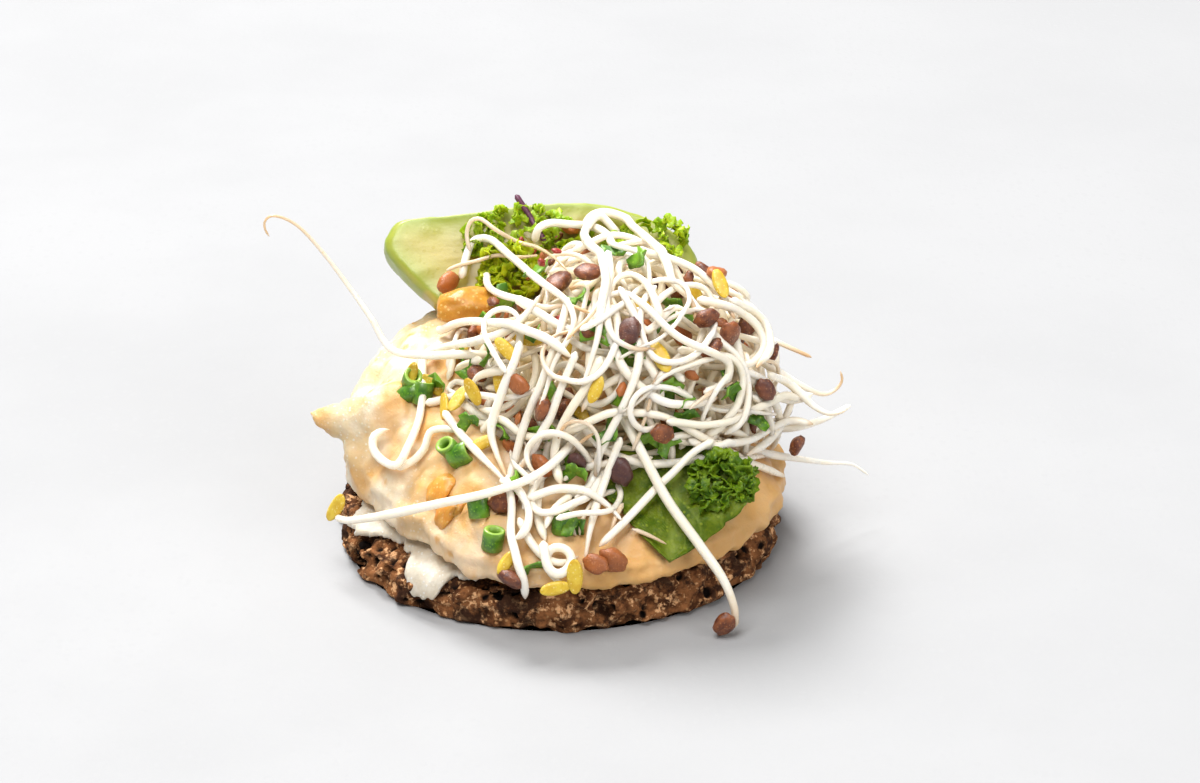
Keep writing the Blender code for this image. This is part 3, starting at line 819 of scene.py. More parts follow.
class Kit:
    """The node trees that the classes share, and the way that a piece is handed over."""

    def __init__(self) -> None:
        """Builds the three geometry node trees."""
        self.relief = relief_tree()
        self.tubes = tube_tree()
        self.scatter = scatter_tree()

    def keep(self, item: Item, slot: Slot, *nodes: str) -> None:
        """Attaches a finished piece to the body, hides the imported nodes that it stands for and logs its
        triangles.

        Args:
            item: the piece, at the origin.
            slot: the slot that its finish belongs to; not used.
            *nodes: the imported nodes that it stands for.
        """
        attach(item, BODY)
        if nodes:
            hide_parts(*nodes)
        faces = sum(len(face.vertices) - 2 for face in item.data.polygons)
        LOG.info("%s: %d triangles, stands for %s", item.name, faces, ", ".join(nodes) or "no node")

    def roughened(self, name: str, mesh: Mesh, finish: Finish | None = None,
                  **lengths: float) -> Item:
        """Runs the relief on a mesh.

        Args:
            name: the new object's name.
            mesh: the smooth mesh, with its mark "loose".
            finish: its finish, if this is the last pass.
            **lengths: the relief's sizes in millimetres, as lump_size, lump_height, grain_size and so on.

        Returns:
            The object.
        """
        values = {label.replace("_", " ").capitalize(): length * MM for label, length in lengths.items()}
        if finish:
            values["Finish"] = finish.material()
        return grown(name, mesh, self.relief, values)

    def scattered(self, name: str, piece: Item, spots: Sequence["Spot"],
                  material: bpy.types.Material) -> Item:
        """Copies a small piece to every spot, as one mesh.

        Args:
            name: the new object's name.
            piece: the small piece, which is removed afterwards.
            spots: where the copies go.
            material: their finish.

        Returns:
            The object.
        """
        mesh = mesh_of(name, [spot.place for spot in spots], [], {"tone": [spot.tone for spot in spots]})
        for label, values in (("turn", [spot.turn.to_euler() for spot in spots]),
                              ("size", [spot.size for spot in spots])):
            layer = mesh.attributes.new(label, "FLOAT_VECTOR", "POINT")
            numbers = np.asarray([tuple(value) for value in values], dtype=np.float32)
            layer.data.foreach_set("vector", numbers.ravel())
        item = grown(name, mesh, self.scatter, {"Piece": piece, "Finish": material})
        bpy.data.objects.remove(piece)
        return item


@dataclass(frozen=True)
class Spot:
    """Where one scattered copy goes: its place in millimetres, its turn, its size factors and its shade."""

    place: Vector
    turn: Matrix
    size: Place
    tone: float = 0.5

    @staticmethod
    def facing(place: Vector, up: Vector, along: Vector, size: Place, tone: float = 0.5) -> "Spot":
        """A spot whose +Z is up and whose +X is as near along as can be.

        Args:
            place: in millimetres.
            up: the direction of the copy's +Z.
            along: roughly the direction of its +X.
            size: its size factors.
            tone: its shade, from 0 to 1.

        Returns:
            The spot.
        """
        up = up.normalized()
        side = up.cross(along)
        side = side.normalized() if side.length > 1e-6 else up.orthogonal().normalized()
        front = side.cross(up)
        return Spot(place, Matrix((front, side, up)).transposed(), size, tone)


def surface_of(items: Iterable[Item]) -> BVHTree:
    """One search tree over the meshes of several objects.

    Args:
        items: the objects.

    Returns:
        The tree, in millimetres.
    """
    points: list[Vector] = []
    faces: list[tuple[int, ...]] = []
    for item in items:
        start = len(points)
        points.extend(vertex.co / MM for vertex in item.data.vertices)
        faces.extend(tuple(start + k for k in face.vertices) for face in item.data.polygons)
    return BVHTree.FromPolygons(points, faces)


PROBE = Vector((0.11, 0.07, 1.0)).normalized()


def standing_off(point: Vector, tree: BVHTree, distance: float) -> Vector:
    """The point, moved out so that it is at least distance outside the closed surfaces of the tree.

    Args:
        point: in millimetres.
        tree: the surfaces.
        distance: in millimetres.

    Returns:
        The point, moved or not.
    """
    spot, normal, _, gap = tree.find_nearest(point)
    if gap > distance + 6.0:
        return point
    _, facing, _, _ = tree.ray_cast(point, PROBE)
    inside = facing is not None and facing.dot(PROBE) > 0
    if not inside and gap >= distance:
        return point
    outward = normal if gap < 0.05 else (spot - point if inside else point - spot).normalized()
    return spot + outward * distance


# The sandwich


@dataclass
class Part:
    """A part of the sandwich, which makes its pieces with the shared trees."""

    kit: Kit


@dataclass
class Bread(Part):
    """The round of rye bread, with a torn side and a flat underside."""

    radius: float = 25.0
    height: float = 5.2
    shoulder_start: float = 20.0
    shoulder_drop: float = 2.1
    shoulder_azimuth: float = 222.0
    shoulder_spread: float = 34.0
    base_radii: tuple[float, ...] = (8.0, 16.0, 21.0, 23.2, 24.0)
    edge_tuck: tuple[float, float] = (0.9, 0.5)
    rim_inset: float = 0.6
    rim_width: float = 7.0
    sides: int = 600
    side_rows: int = 34
    rim_rows: int = 22

    def top(self, azimuth: float, radius: float) -> float:
        """Height of the upper side, which falls away where the rim is torn.

        Args:
            azimuth: degrees.
            radius: how far out.

        Returns:
            The height.
        """
        fall = max(0.0, (radius - self.shoulder_start) / (self.radius - self.shoulder_start))
        torn = hump(azimuth, self.shoulder_azimuth, self.shoulder_spread)
        return self.height - self.shoulder_drop * fall * torn

    def build(self) -> None:
        """Makes and dresses the round."""
        rings, loose = [], []
        for radius in self.base_radii:
            rings.append([around(a, radius, 0.0) for a in azimuths(self.sides)])
            loose.append(0.0)
        for row in range(self.side_rows):
            share = row / (self.side_rows - 1)
            low, high = max(0.0, 1.0 - share / 0.18), max(0.0, (share - 0.86) / 0.14)
            tuck = self.edge_tuck[0] * low ** 2 + self.edge_tuck[1] * high ** 2
            ring = []
            for azimuth in azimuths(self.sides):
                height = self.top(azimuth, self.radius) * share
                point = around(azimuth, self.radius - tuck, height)
                crag = 1.2 * noisy(point, 1.9) + 0.9 * noisy(point, 4.5, 5.0) - 0.4
                ring.append(around(azimuth, self.radius - tuck + min(crag, 0.3), height))
            rings.append(ring)
            loose.append(min(1.0, 4.0 * share))
        for row in range(1, self.rim_rows):
            radius = self.radius - self.rim_inset - self.rim_width * row / self.rim_rows
            rings.append([around(a, radius, self.top(a, radius) - 0.1) for a in azimuths(self.sides)])
            loose.append(0.8)
        rings.append([around(a, 10.0, self.height - 0.3) for a in azimuths(self.sides)])
        loose.append(0.0)
        points, faces = lofted(rings)
        marks = {"loose": [value for value in loose for _ in range(self.sides)] + [0.0, 0.0]}
        mesh = mesh_of("rye_round", points, faces, marks)
        torn = self.kit.roughened("torn_round", mesh, lump_size=3.0, lump_height=0.3, grain_height=0.0,
                                  pit_size=4.0, pit_depth=2.2)
        item = self.kit.roughened("rye_round", torn.data, RYE, lump_size=1.3, lump_height=0.3,
                                  grain_size=0.6, grain_height=0.32, pit_size=1.7, pit_depth=0.9)
        bpy.data.objects.remove(torn)
        self.kit.keep(item, Slot.BREAD, "bread")


@dataclass
class CreamCheese(Part):
    """The thin layer of cream cheese, which shows at the front left and runs over the rim."""

    thickness: float = 0.75
    radius: float = 21.7
    lobes: tuple[Place, ...] = ((201.0, 7.0, 3.1), (234.0, 9.5, 5.0))
    profile: tuple[Sight, ...] = (
        (4.0, 0.0), (0.5, 0.0), (0.1, 0.2), (0.0, 0.45), (0.05, 0.7), (0.2, 0.9), (0.45, 1.0), (0.8, 1.04),
        (1.3, 1.08), (1.9, 1.12), (2.6, 1.1), (3.4, 1.08), (4.4, 1.04), (5.6, 1.0))
    sides: int = 560

    def edge(self, azimuth: float) -> float:
        """Radius of the layer, with its two lobes and a ragged smear.

        Args:
            azimuth: degrees.

        Returns:
            The radius in millimetres.
        """
        place = around(azimuth, 22.0, 0.0)
        ragged = 1.1 * noisy(place, 2.3, 7.0) + 0.9 * noisy(place, 1.1, 3.0) + 0.4 * noisy(place, 0.5) - 0.3
        lobes = sum(reach * hump(azimuth, centre, width) for centre, width, reach in self.lobes)
        return self.radius + ragged + lobes

    def build(self, bread: Bread) -> None:
        """Makes and dresses the layer.

        Args:
            bread: the round that it lies on.
        """
        rings = []
        for inset, rise in self.profile:
            ring = []
            for azimuth in azimuths(self.sides):
                reach = self.edge(azimuth) - inset
                over = max(0.0, reach - bread.radius + 0.5)
                radius = reach - over + rise * self.thickness * 0.9 * min(1.0, over)
                height = rise * self.thickness * (1.0 - 0.9 * min(1.0, over))
                height = bread.top(azimuth, radius) + 0.15 + height
                ring.append(around(azimuth, radius, height - over))
            rings.append(ring)
        points, faces = lofted(rings)
        mesh = mesh_of("cream_cheese_layer", points, faces, {"loose": [1.0] * len(points)})
        item = self.kit.roughened("cream_cheese_layer", mesh, CHEESE, lump_size=1.9, lump_height=0.4,
                                  grain_size=0.7, grain_height=0.26)
        self.kit.keep(item, Slot.CHEESE, "cream_cheese")


@dataclass
class Spread(Part):
    """The piped mound of chickpea spread, with its drawn-out tip, the chive rings and the orange drop."""

    bottom: float = 6.35
    peak: Place = (-6.0, 9.0, 22.0)
    rim: tuple[Sight, ...] = (
        (0.0, 25.6), (45.0, 25.2), (90.0, 25.0), (160.0, 24.4), (185.0, 24.0), (203.0, 22.2), (228.0, 22.6),
        (250.0, 25.4), (272.0, 26.3), (315.0, 26.0), (360.0, 25.6))
    shelf: tuple[Sight, ...] = (
        (0.0, 8.6), (45.0, 13.0), (70.0, 17.6), (95.0, 19.4), (118.0, 19.2), (142.0, 17.4), (162.0, 15.8),
        (180.0, 13.4), (203.0, 10.4), (228.0, 8.8), (270.0, 8.2), (360.0, 8.6))
    flank: tuple[Place, ...] = (
        (2.6, 0.0, 0.0), (1.4, 0.0, 0.6), (0.7, 0.03, 0.6), (0.35, 0.1, 0.45), (0.05, 0.2, 0.3),
        (0.0, 0.32, 0.2), (0.2, 0.45, 0.1), (0.35, 0.6, 0.0), (0.25, 0.75, 0.0), (0.15, 0.88, 0.0))
    swirl_turns: float = 3.0
    swirl_depth: float = 0.8
    # Spots where orange shade is painted into hollows of the spread: x, y and reach in millimetres.
    painted_hollows: tuple[Place, ...] = (
        (-16.8, -2.3, 2.6), (-13.7, -7.4, 3.0), (-11.1, 0.8, 2.6), (-12.0, -13.0, 3.6), (-9.6, -19.5, 2.8))
    tip_route: tuple[Place, ...] = (
        (-17.0, -1.0, 14.2), (-21.5, -1.4, 14.0), (-25.2, -1.3, 14.3), (-27.9, -1.0, 15.0))
    tip_radii: tuple[float, ...] = (4.4, 3.0, 1.5, 0.45)
    chives: tuple[tuple[float, float, Place], ...] = (
        (-16.7, -0.4, (0.3, -0.5, 1.0)), (-16.4, -2.0, (1.0, -0.2, 0.5)), (-14.5, -2.6, (0.2, 0.3, 1.0)),
        (-10.9, -11.9, (-0.6, -0.5, 0.9)), (-10.2, -13.0, (0.9, -0.3, 0.6)),
        (-8.0, -19.2, (-0.12, 0.35, 1.0)),
        (-6.8, -22.4, (0.15, -0.1, 1.0)), (0.7, -21.6, (0.1, 0.2, 1.0)))
    chive_radius: float = 1.1
    chive_half: float = 1.25
    drops: tuple[tuple[float, float, Place], ...] = (
        (-12.6, -14.7, (2.1, 1.5, 0.7)), (-11.9, -17.0, (2.2, 1.9, 0.85)), (-10.8, -17.4, (1.5, 1.3, 0.7)))
    sides: int = 200

    def top(self, azimuth: float, share: float) -> Vector:
        """Point on the top.

        Args:
            azimuth: degrees.
            share: how far down it is, from the peak at 0 to the end of the side at 1.

        Returns:
            The point.
        """
        shelf = eased(azimuth, self.shelf)
        rim = around(azimuth, eased(azimuth, self.rim) - 0.9 * share, 0.0)
        place = Vector((self.peak[0], self.peak[1], 0.0)).lerp(rim, share)
        swirl = math.cos(2 * math.pi * (self.swirl_turns * share - azimuth / 360.0))
        fade = min(1.0, 2.5 * share) * (1.0 - share ** 6)
        place.z = shelf + (self.peak[2] - shelf) * (1.0 - share * share) ** 0.8
        place.z -= self.swirl_depth * fade * (0.5 + 0.5 * swirl)
        ledge = math.exp(-(((share - 0.84) / 0.028) ** 2)) + 0.7 * math.exp(-(((share - 0.67) / 0.03) ** 2))
        place.z -= 1.2 * ledge * hump(azimuth, 315.0, 42.0)
        return place

    def mound(self) -> Mesh:
        """The mound and its tip as two overlapping closed shells.

        Returns:
            The mesh.
        """
        rings = [[around(a, 15.0, self.bottom) for a in azimuths(self.sides)]]
        for inset, share, drop in self.flank:
            ring = []
            for azimuth in azimuths(self.sides):
                rim = eased(azimuth, self.rim)
                overhang = min(1.0, max(0.0, rim - 24.6))
                low = self.bottom - drop * overhang
                wave = 0.25 * noisy(around(azimuth, rim, 4.0 * share), 3.4, 2.0)
                height = low + (eased(azimuth, self.shelf) - low) * share
                ring.append(around(azimuth, rim - inset + wave, height))
            rings.append(ring)
        for step in range(1, 60):
            rings.append([self.top(a, 1.0 - step / 60.0) for a in azimuths(self.sides)])
        points, faces = lofted(rings)
        route = smooth([Vector(p) for p in self.tip_route], 30)
        girth = [r.x for r in smooth([Vector((r, 0.0, 0.0)) for r in self.tip_radii], 30)]
        tip = []
        for k, (place, radius) in enumerate(zip(route, girth)):
            along = (route[min(k + 1, 30)] - route[max(k - 1, 0)]).normalized()
            side = Vector((0.0, 0.0, 1.0)).cross(along).normalized()
            up = along.cross(side)
            tip.append([place + radius * (side * math.cos(a) + up * math.sin(a))
                        for a in (2 * math.pi * i / 24 for i in range(24))])
        tip_points, tip_faces = lofted(tip)
        start = len(points)
        faces = faces + [tuple(start + k for k in face) for face in tip_faces]
        return mesh_of("mound", points + tip_points, faces)

    def build(self) -> Item:
        """Makes and dresses the mound and what is sunk in it.

        Returns:
            The mound.
        """
        body = show("mound", self.mound())
        remesh = body.modifiers.new("One skin", "REMESH")
        remesh.mode = "VOXEL"
        remesh.voxel_size = 0.42 * MM
        soften = body.modifiers.new("Soften", "SMOOTH")
        soften.iterations = 6
        settled_mesh(body)
        mesh = body.data
        mark_points(mesh, "loose", [1.0] * len(mesh.vertices))
        # The hollow mark carries painted orange shade in folds and hollows, and a deeper tint to the right
        # and low down.
        mark_points(mesh, "hollow", [self.tint_and_fold_shade(vertex.co / MM) for vertex in mesh.vertices])
        bpy.data.objects.remove(body)
        item = self.kit.roughened("spread_mound", mesh, SPREAD, lump_size=3.2, lump_height=1.0,
                                  grain_size=0.9, grain_height=0.2)
        self.kit.keep(item, Slot.SPREAD, "chickpea_spread")
        self.bits(item)
        return item

    def tint_and_fold_shade(self, point: Vector) -> float:
        """How much deeper the colour is than cream: more to the right and low down, and painted orange shade
        in soft folds and hollows.

        Args:
            point: a place on the mound in millimetres.

        Returns:
            The share, from 0 to 0.95.
        """
        side = min(1.0, max(0.0, (point.x + 17.0) / 26.0))
        low = min(1.0, max(0.0, (14.0 - point.z) / 6.0))
        # Painted shade: noise folds and the listed hollows turn orange.
        fold_shade = max(0.0, noisy(Vector((point.x, 0.6 * point.y, 0.5 * point.z)), 2.8, 4.0))
        painted_hollows = sum(math.exp(-((point.x - x) ** 2 + (point.y - y) ** 2) / reach ** 2)
                    for x, y, reach in self.painted_hollows)
        uneven = max(0.0, 0.6 + 0.9 * noisy(point, 1.6, 8.0))
        return min(0.95, 0.75 * side + 0.12 * low + (1.35 * fold_shade + painted_hollows * uneven) * (1.0 - 0.5 * side))

    def bits(self, mound: Item) -> None:
        """Makes the chive rings and the orange drop on the mound.

        Args:
            mound: what they lie on.
        """
        tree = surface_of([mound])
        draw = np.random.default_rng(4)
        down = Vector((0.0, 0.0, -1.0))
        spots = []
        for x, y, axis in self.chives:
            place, normal, _, _ = tree.ray_cast(Vector((x, y, 90.0)), down)
            size = float(draw.uniform(0.9, 1.05))
            lift = 0.75 * abs(normal.dot(Vector(axis).normalized())) + 0.25
            spots.append(Spot.facing(place + normal * lift, Vector(axis), Vector(draw.normal(size=3)),
                                     (size, size, size)))
        ring = show("chive_ring", self.chive_ring())
        self.kit.keep(self.kit.scattered("chive_rings", ring, spots, CHIVE.material()), Slot.DARK_HERB)
        spots = []
        for x, y, half in self.drops:
            place, normal, _, _ = tree.ray_cast(Vector((x, y, 90.0)), down)
            spots.append(Spot.facing(place - normal * 0.1, normal, Vector((0.3, -0.2, 1.0)), half))
        blob = pebble("drop", (1.0, 1.0, 1.0), 0.22, 3.0)
        self.kit.keep(self.kit.scattered("orange_drop", blob, spots, DROP.material()), Slot.CHUNK)

    def chive_ring(self) -> Mesh:
        """One short hollow piece of chive, standing along Z, with its cut ends marked.

        Returns:
            The mesh.
        """
        profile = (
            (0.55, -0.93, 0.4), (0.88, -1.0, 1.0), (1.0, -0.93, 0.3), (1.0, -0.3, 0.0), (1.03, 0.3, 0.0),
            (1.0, 0.93, 0.3), (0.88, 1.0, 1.0), (0.58, 0.94, 0.8), (0.5, 0.3, 0.2), (0.5, -0.4, 0.2))
        count = 22
        points, marks = [], []
        for radius, height, cut in profile:
            for azimuth in azimuths(count):
                wavy = radius * self.chive_radius * (1.0 + 0.08 * math.cos(2 * math.radians(azimuth)))
                points.append(around(azimuth, wavy, height * self.chive_half))
                marks.append(cut)
        return mesh_of("chive_ring", points, quads(len(profile), count, ring=True), {"cut": marks})


@dataclass
class Avocado(Part):
    """The avocado slice: green towards its skin and pale yellow towards the stone."""

    foot: Place = (0.0, 12.0, 22.4)
    lean: float = 40.0
    edge: tuple[Sight, ...] = (
        (-13.9, 0.0), (-17.4, 3.4), (-19.9, 6.6), (-19.6, 8.8), (-18.0, 10.3), (-13.0, 10.8),
        (-6.5, 11.6), (0.0, 12.3), (6.0, 11.9), (11.0, 10.1), (14.4, 7.6), (15.6, 5.2), (14.6, 2.0),
        (11.0, 0.8), (5.0, 1.9), (-2.0, 2.3), (-8.0, 1.4))
    foot_thickness: float = 4.0
    top_thickness: float = 8.0
    top: float = 12.3
    sides: int = 170
    skin_points: int = 12

    def build(self) -> None:
        """Makes and dresses the slice."""
        lean = math.radians(self.lean)
        up = Vector((0.0, math.sin(lean), math.cos(lean)))
        back = Vector((0.0, math.cos(lean), -math.sin(lean)))
        outline = smooth([Vector((*place, 0.0)) for place in (*self.edge, self.edge[0])], self.sides)[:-1]
        middle = sum(outline, Vector()) / len(outline)
        skin_side = [Vector((*place, 0.0)) for place in self.edge[:self.skin_points]]
        skin_line = np.array([tuple(p) for p in smooth(skin_side, 120)])
        profile = [(0.0, 0.05 + 0.87 * k / 16) for k in range(17)]
        profile += [(0.012, 0.945), (0.04, 0.968), (0.085, 0.985), (0.14, 0.998)]
        profile += [(0.14 + 0.76 * k / 12, 1.0 + 0.014 * math.sin(math.pi * k / 12)) for k in range(1, 13)]
        profile += [(0.95, 0.995), (0.985, 0.975), (1.0, 0.94), *((1.0, 0.86 - 0.11 * k) for k in range(8))]
        rings, skin = [], []
        for depth, scale in profile:
            ring = []
            for point in outline:
                place = middle + (point - middle) * scale
                share = place.y / self.top
                thickness = self.foot_thickness + (self.top_thickness - self.foot_thickness) * share
                hollow = 0.25 * math.sin(math.pi * min(1.0, scale)) if depth == 0.0 else 0.0
                ring.append(Vector(self.foot) + Vector((place.x, 0.0, 0.0)) + up * place.y
                            + back * (thickness * depth + hollow))
                away = float(np.min(np.hypot(skin_line[:, 0] - place.x, skin_line[:, 1] - place.y)))
                rim = math.exp(-((away / 2.3) ** 1.3))
                side = min(1.0, 0.75 + 1.2 * depth) if place.y > 1.6 else 0.2
                streak = 0.8 + 0.35 * noisy(Vector((place.x, 0.4 * place.y, 3.0 * depth)), 2.6, 1.0)
                skin.append(min(1.0, rim * (0.9 if depth < 0.02 else side * streak)))
            rings.append(ring)
        points, faces = lofted(rings)
        marks = {"skin": skin + [0.0, 0.6], "loose": [1.0] * len(points)}
        mesh = mesh_of("avocado_slice", points, faces, marks)
        item = self.kit.roughened("avocado_slice", mesh, AVOCADO_FLESH, lump_size=3.2, lump_height=0.24,
                                  grain_size=0.9, grain_height=0.03)
        self.kit.keep(item, Slot.AVOCADO, "avocado")


def leaflet_mesh(size: float) -> Mesh:
    """One curled lobe of curly parsley, with its stalk end at the origin and growing along +X.

    Args:
        size: about how long it is.

    Returns:
        The mesh.
    """
    rings, count = 2, 10
    points, faces = [], []
    for layer in (-0.06, 0.06):
        for ring in range(rings + 1):
            share = ring / rings
            for k in range(count):
                angle = math.radians(-115.0 + 230.0 * k / (count - 1))
                lobe = 0.72 + 0.28 * abs(math.cos(2.6 * angle))
                ruffle = 0.2 * share * share * math.sin(5.5 * angle)
                place = (share * lobe * math.cos(angle) + 0.3, share * lobe * math.sin(angle),
                         ruffle + 0.3 * share * share + layer)
                points.append([size * c for c in place])
    layer_size = (rings + 1) * count
    for ring in range(rings):
        for k in range(count - 1):
            a = ring * count + k
            top = layer_size + a
            faces.append((a, a + 1, a + count + 1, a + count))
            faces.append((top, top + count, top + count + 1, top + 1))
    border = [*reversed(range(count)), *(ring * count for ring in range(1, rings + 1))]
    border += [rings * count + k for k in range(1, count)]
    border += [ring * count + count - 1 for ring in range(rings - 1, 0, -1)]
    for a, b in zip(border, border[1:] + border[:1]):
        faces.append((b, a, layer_size + a, layer_size + b))
    mesh = mesh_of("leaflet", points, faces)
    turned_out(mesh, merge=True)
    return mesh


@dataclass
class Herbs(Part):
    """The pointed leaf at the front, the curly parsley and the purple stem."""

    leaf_centre: Place = (12.6, -18.0, 13.0)
    leaf_heading: float = -95.0
    leaf_tilt: float = 44.0
    leaf_half: tuple[float, float] = (7.4, 7.2)
    stem_route: tuple[Place, ...] = (
        (-1.6, 15.8, 28.4), (-2.4, 16.6, 29.4), (-3.6, 18.0, 31.0), (-4.9, 19.0, 32.7))
    leaflet: float = 1.25
    upwards: Vector = field(default_factory=lambda: Vector((0.0, -0.77, 0.64)))

    def front_leaf(self, supports: BVHTree) -> None:
        """Makes the pointed leaf, draped on the spread.

        Args:
            supports: what it lies on.
        """
        turn = Matrix.Rotation(math.radians(self.leaf_tilt), 3, "X")
        turn = turn @ Matrix.Rotation(math.radians(self.leaf_heading), 3, "Z")
        rows, columns = 60, 44
        points, faces, vein = [], [], []
        for row in range(rows + 1):
            along = row / rows
            width = min(1.0, (along + 0.02) / 0.22) ** 0.5 * min(1.0, (1.0 - along) / 0.45) ** 0.85
            for column in range(columns + 1):
                across = 2.0 * column / columns - 1.0
                teeth = 1.0 + 0.07 * abs(math.sin(9.0 * math.pi * along)) ** 0.7 * abs(across) ** 3
                x = self.leaf_half[0] * (2.0 * along - 1.0) + 0.6 * abs(across) * (1.0 - along)
                y = self.leaf_half[1] * width * teeth * across
                ripple = 0.7 * abs(across) ** 1.5 * math.sin(11.0 * along + 2.0 * across)
                ripple = ripple + 0.5 * abs(across) + 0.22 * noisy(Vector((x, y, 0.0)), 1.1, 1.0)
                place = Vector(self.leaf_centre) + turn @ Vector((x, y, ripple + 0.3))
                points.append(standing_off(place, supports, 0.4))
                rib = math.exp(-((across * width * 14.0) ** 2))
                branch = abs(math.sin(math.pi * (6.0 * along - 2.2 * abs(across))))
                vein.append(0.6 * min(1.0, rib + 0.6 * math.exp(-((branch * 7.0) ** 2))))
        stride = columns + 1
        for row in range(rows):
            for column in range(columns):
                k = row * stride + column
                faces.append((k, k + stride, k + stride + 1, k + 1))
        mesh = mesh_of("front_leaf", points, faces, {"vein": vein})
        leaf = show("front_leaf", mesh, FRONT_LEAF.material())
        turned_out(leaf.data)
        wall = leaf.modifiers.new("Thickness", "SOLIDIFY")
        wall.thickness = 0.22 * MM
        wall.offset = 0.0
        settled_mesh(leaf)
        self.kit.keep(leaf, Slot.DARK_HERB, "leaf_front")

    def cluster(self, name: str, node: str, count: int, size: float, finish: Finish, slot: Slot,
                seed: int, shift: Place = (0.0, 0.0, 0.0), spread: float = 0.94) -> None:
        """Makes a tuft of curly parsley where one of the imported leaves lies.

        Args:
            name: the piece's name.
            node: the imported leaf.
            count: how many leaflets it has.
            size: their size factor.
            finish: their finish.
            slot: the finish's slot.
            seed: what its random turns start from.
            shift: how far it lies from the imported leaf, in millimetres.
            spread: how far it reaches from its middle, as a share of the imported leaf.
        """
        draw = np.random.default_rng(seed)
        mesh = frame["nodes"][node].data
        faces = list(mesh.polygons)
        areas = np.array([face.area for face in faces])
        centre = sum((vertex.co for vertex in mesh.vertices), Vector()) / len(mesh.vertices) / MM
        spots = []
        for _ in range(count):
            face = faces[int(draw.choice(len(faces), p=areas / areas.sum()))]
            normal = face.normal if face.normal.dot(self.upwards) > 0 else -face.normal
            place = face.center / MM
            outward = place - centre
            up = (normal + 0.65 * Vector(draw.normal(size=3))).normalized()
            along = outward + 1.5 * Vector(draw.normal(size=3))
            scale = size * float(draw.uniform(0.6, 1.15))
            place = centre.lerp(place, spread) + normal * float(draw.uniform(0.0, 0.5))
            spots.append(Spot.facing(place + Vector(shift), up, along, (scale, scale, scale)))
        leaflet = show("leaflet", leaflet_mesh(self.leaflet))
        self.kit.keep(self.kit.scattered(name, leaflet, spots, finish.material()), slot, node)

    def build(self, supports: BVHTree) -> None:
        """Makes and dresses all the herbs.

        Args:
            supports: what the front leaf lies on.
        """
        self.front_leaf(supports)
        self.cluster("parsley_tuft_front", "parsley_front", 90, 0.9, DARK_HERB, Slot.DARK_HERB, 1)
        self.cluster("parsley_tuft_top", "parsley_top", 125, 0.75, BRIGHT_HERB, Slot.HERB, 2,
                     (0.3, -1.2, -2.6), 1.12)
        self.cluster("parsley_tuft_middle", "parsley_mid", 95, 1.0, LIME_HERB, Slot.HERB, 3,
                     (0.9, -0.4, -0.3))
        self.cluster("parsley_tuft_right", "parsley_right", 80, 0.75, BRIGHT_HERB, Slot.HERB, 5,
                     (-1.5, -0.6, -1.3), 1.2)
        route = evenly([Vector(p) for p in self.stem_route], 0.6)
        stem = lines_mesh("purple_stem", [Stem(route, np.full(len(route), 0.34), Layer.SHOWN)])
        item = grown("purple_stem", stem, self.kit.tubes, {"Finish": PURPLE.material(), "Step": 0.3 * MM})
        self.kit.keep(item, Slot.DARK_HERB)


@dataclass
class Chunk(Part):
    """The rounded orange chunk in front of the avocado."""

    centre: Place = (-10.2, 7.6, 24.0)
    half: Place = (3.6, 2.4, 2.0)

    def build(self) -> None:
        """Makes and dresses the chunk."""
        body = pebble("chunk", self.half, 0.2, 4.0, 30, 44)
        up, along = Vector((0.0, 0.0, 1.0)), Vector((1.0, 0.15, 0.0))
        spot = Spot.facing(Vector(self.centre), up, along, (1.0, 1.0, 1.0))
        item = self.kit.scattered("orange_chunk_piece", body, [spot], CHUNK.material())
        self.kit.keep(item, Slot.CHUNK, "orange_chunk")


# The heap of sprouts


@dataclass
class Stem:
    """One sprout: its route and radius in millimetres, bead by bead, and how it lies.

    root and deep say how much each bead is a root and how deep it lies, from 0 to 1, and tone is the
    stem's shade.
    """

    route: Points
    girth: Points
    layer: Layer
    root: Points | None = None
    deep: Points | None = None
    tone: float = 0.0

    def rounded(self) -> "Stem":
        """The stem with one more bead beyond each end, which rounds it off.

        Returns:
            A new stem.
        """
        first = self.route[0] + (self.route[0] - self.route[1]) * 0.7 * self.girth[0] / self.step
        last = self.route[-1] + (self.route[-1] - self.route[-2]) * 0.7 * self.girth[-1] / self.step
        route = np.concatenate([[first], self.route, [last]])
        girth = np.concatenate([[0.35 * self.girth[0]], self.girth, [0.35 * self.girth[-1]]])
        marks = [None if mark is None else np.pad(mark, 1, mode="edge") for mark in (self.root, self.deep)]
        return Stem(route, girth, self.layer, marks[0], marks[1], self.tone)

    @property
    def step(self) -> float:
        """The distance between its first two beads."""
        return float(np.linalg.norm(self.route[1] - self.route[0]))


def lines_mesh(name: str, stems: Sequence[Stem]) -> Mesh:
    """Stems as a mesh of lines, with their girth, root, depth and tone as marks.

    Args:
        name: the mesh's name.
        stems: the stems.

    Returns:
        The mesh.
    """
    stems = [stem.rounded() for stem in stems]
    points = np.concatenate([stem.route for stem in stems])
    edges: list[tuple[int, int]] = []
    start = 0
    for stem in stems:
        count = len(stem.route)
        edges.extend((start + k, start + k + 1) for k in range(count - 1))
        start += count
    marks = {
        "girth": np.concatenate([stem.girth for stem in stems]) * MM,
        "root": np.concatenate([np.zeros(len(s.route)) if s.root is None else s.root for s in stems]),
        "deep": np.concatenate([np.zeros(len(s.route)) if s.deep is None else s.deep for s in stems]),
        "tone": np.concatenate([np.full(len(stem.route), stem.tone) for stem in stems]),
    }
    return mesh_of(name, points, [], marks, edges)


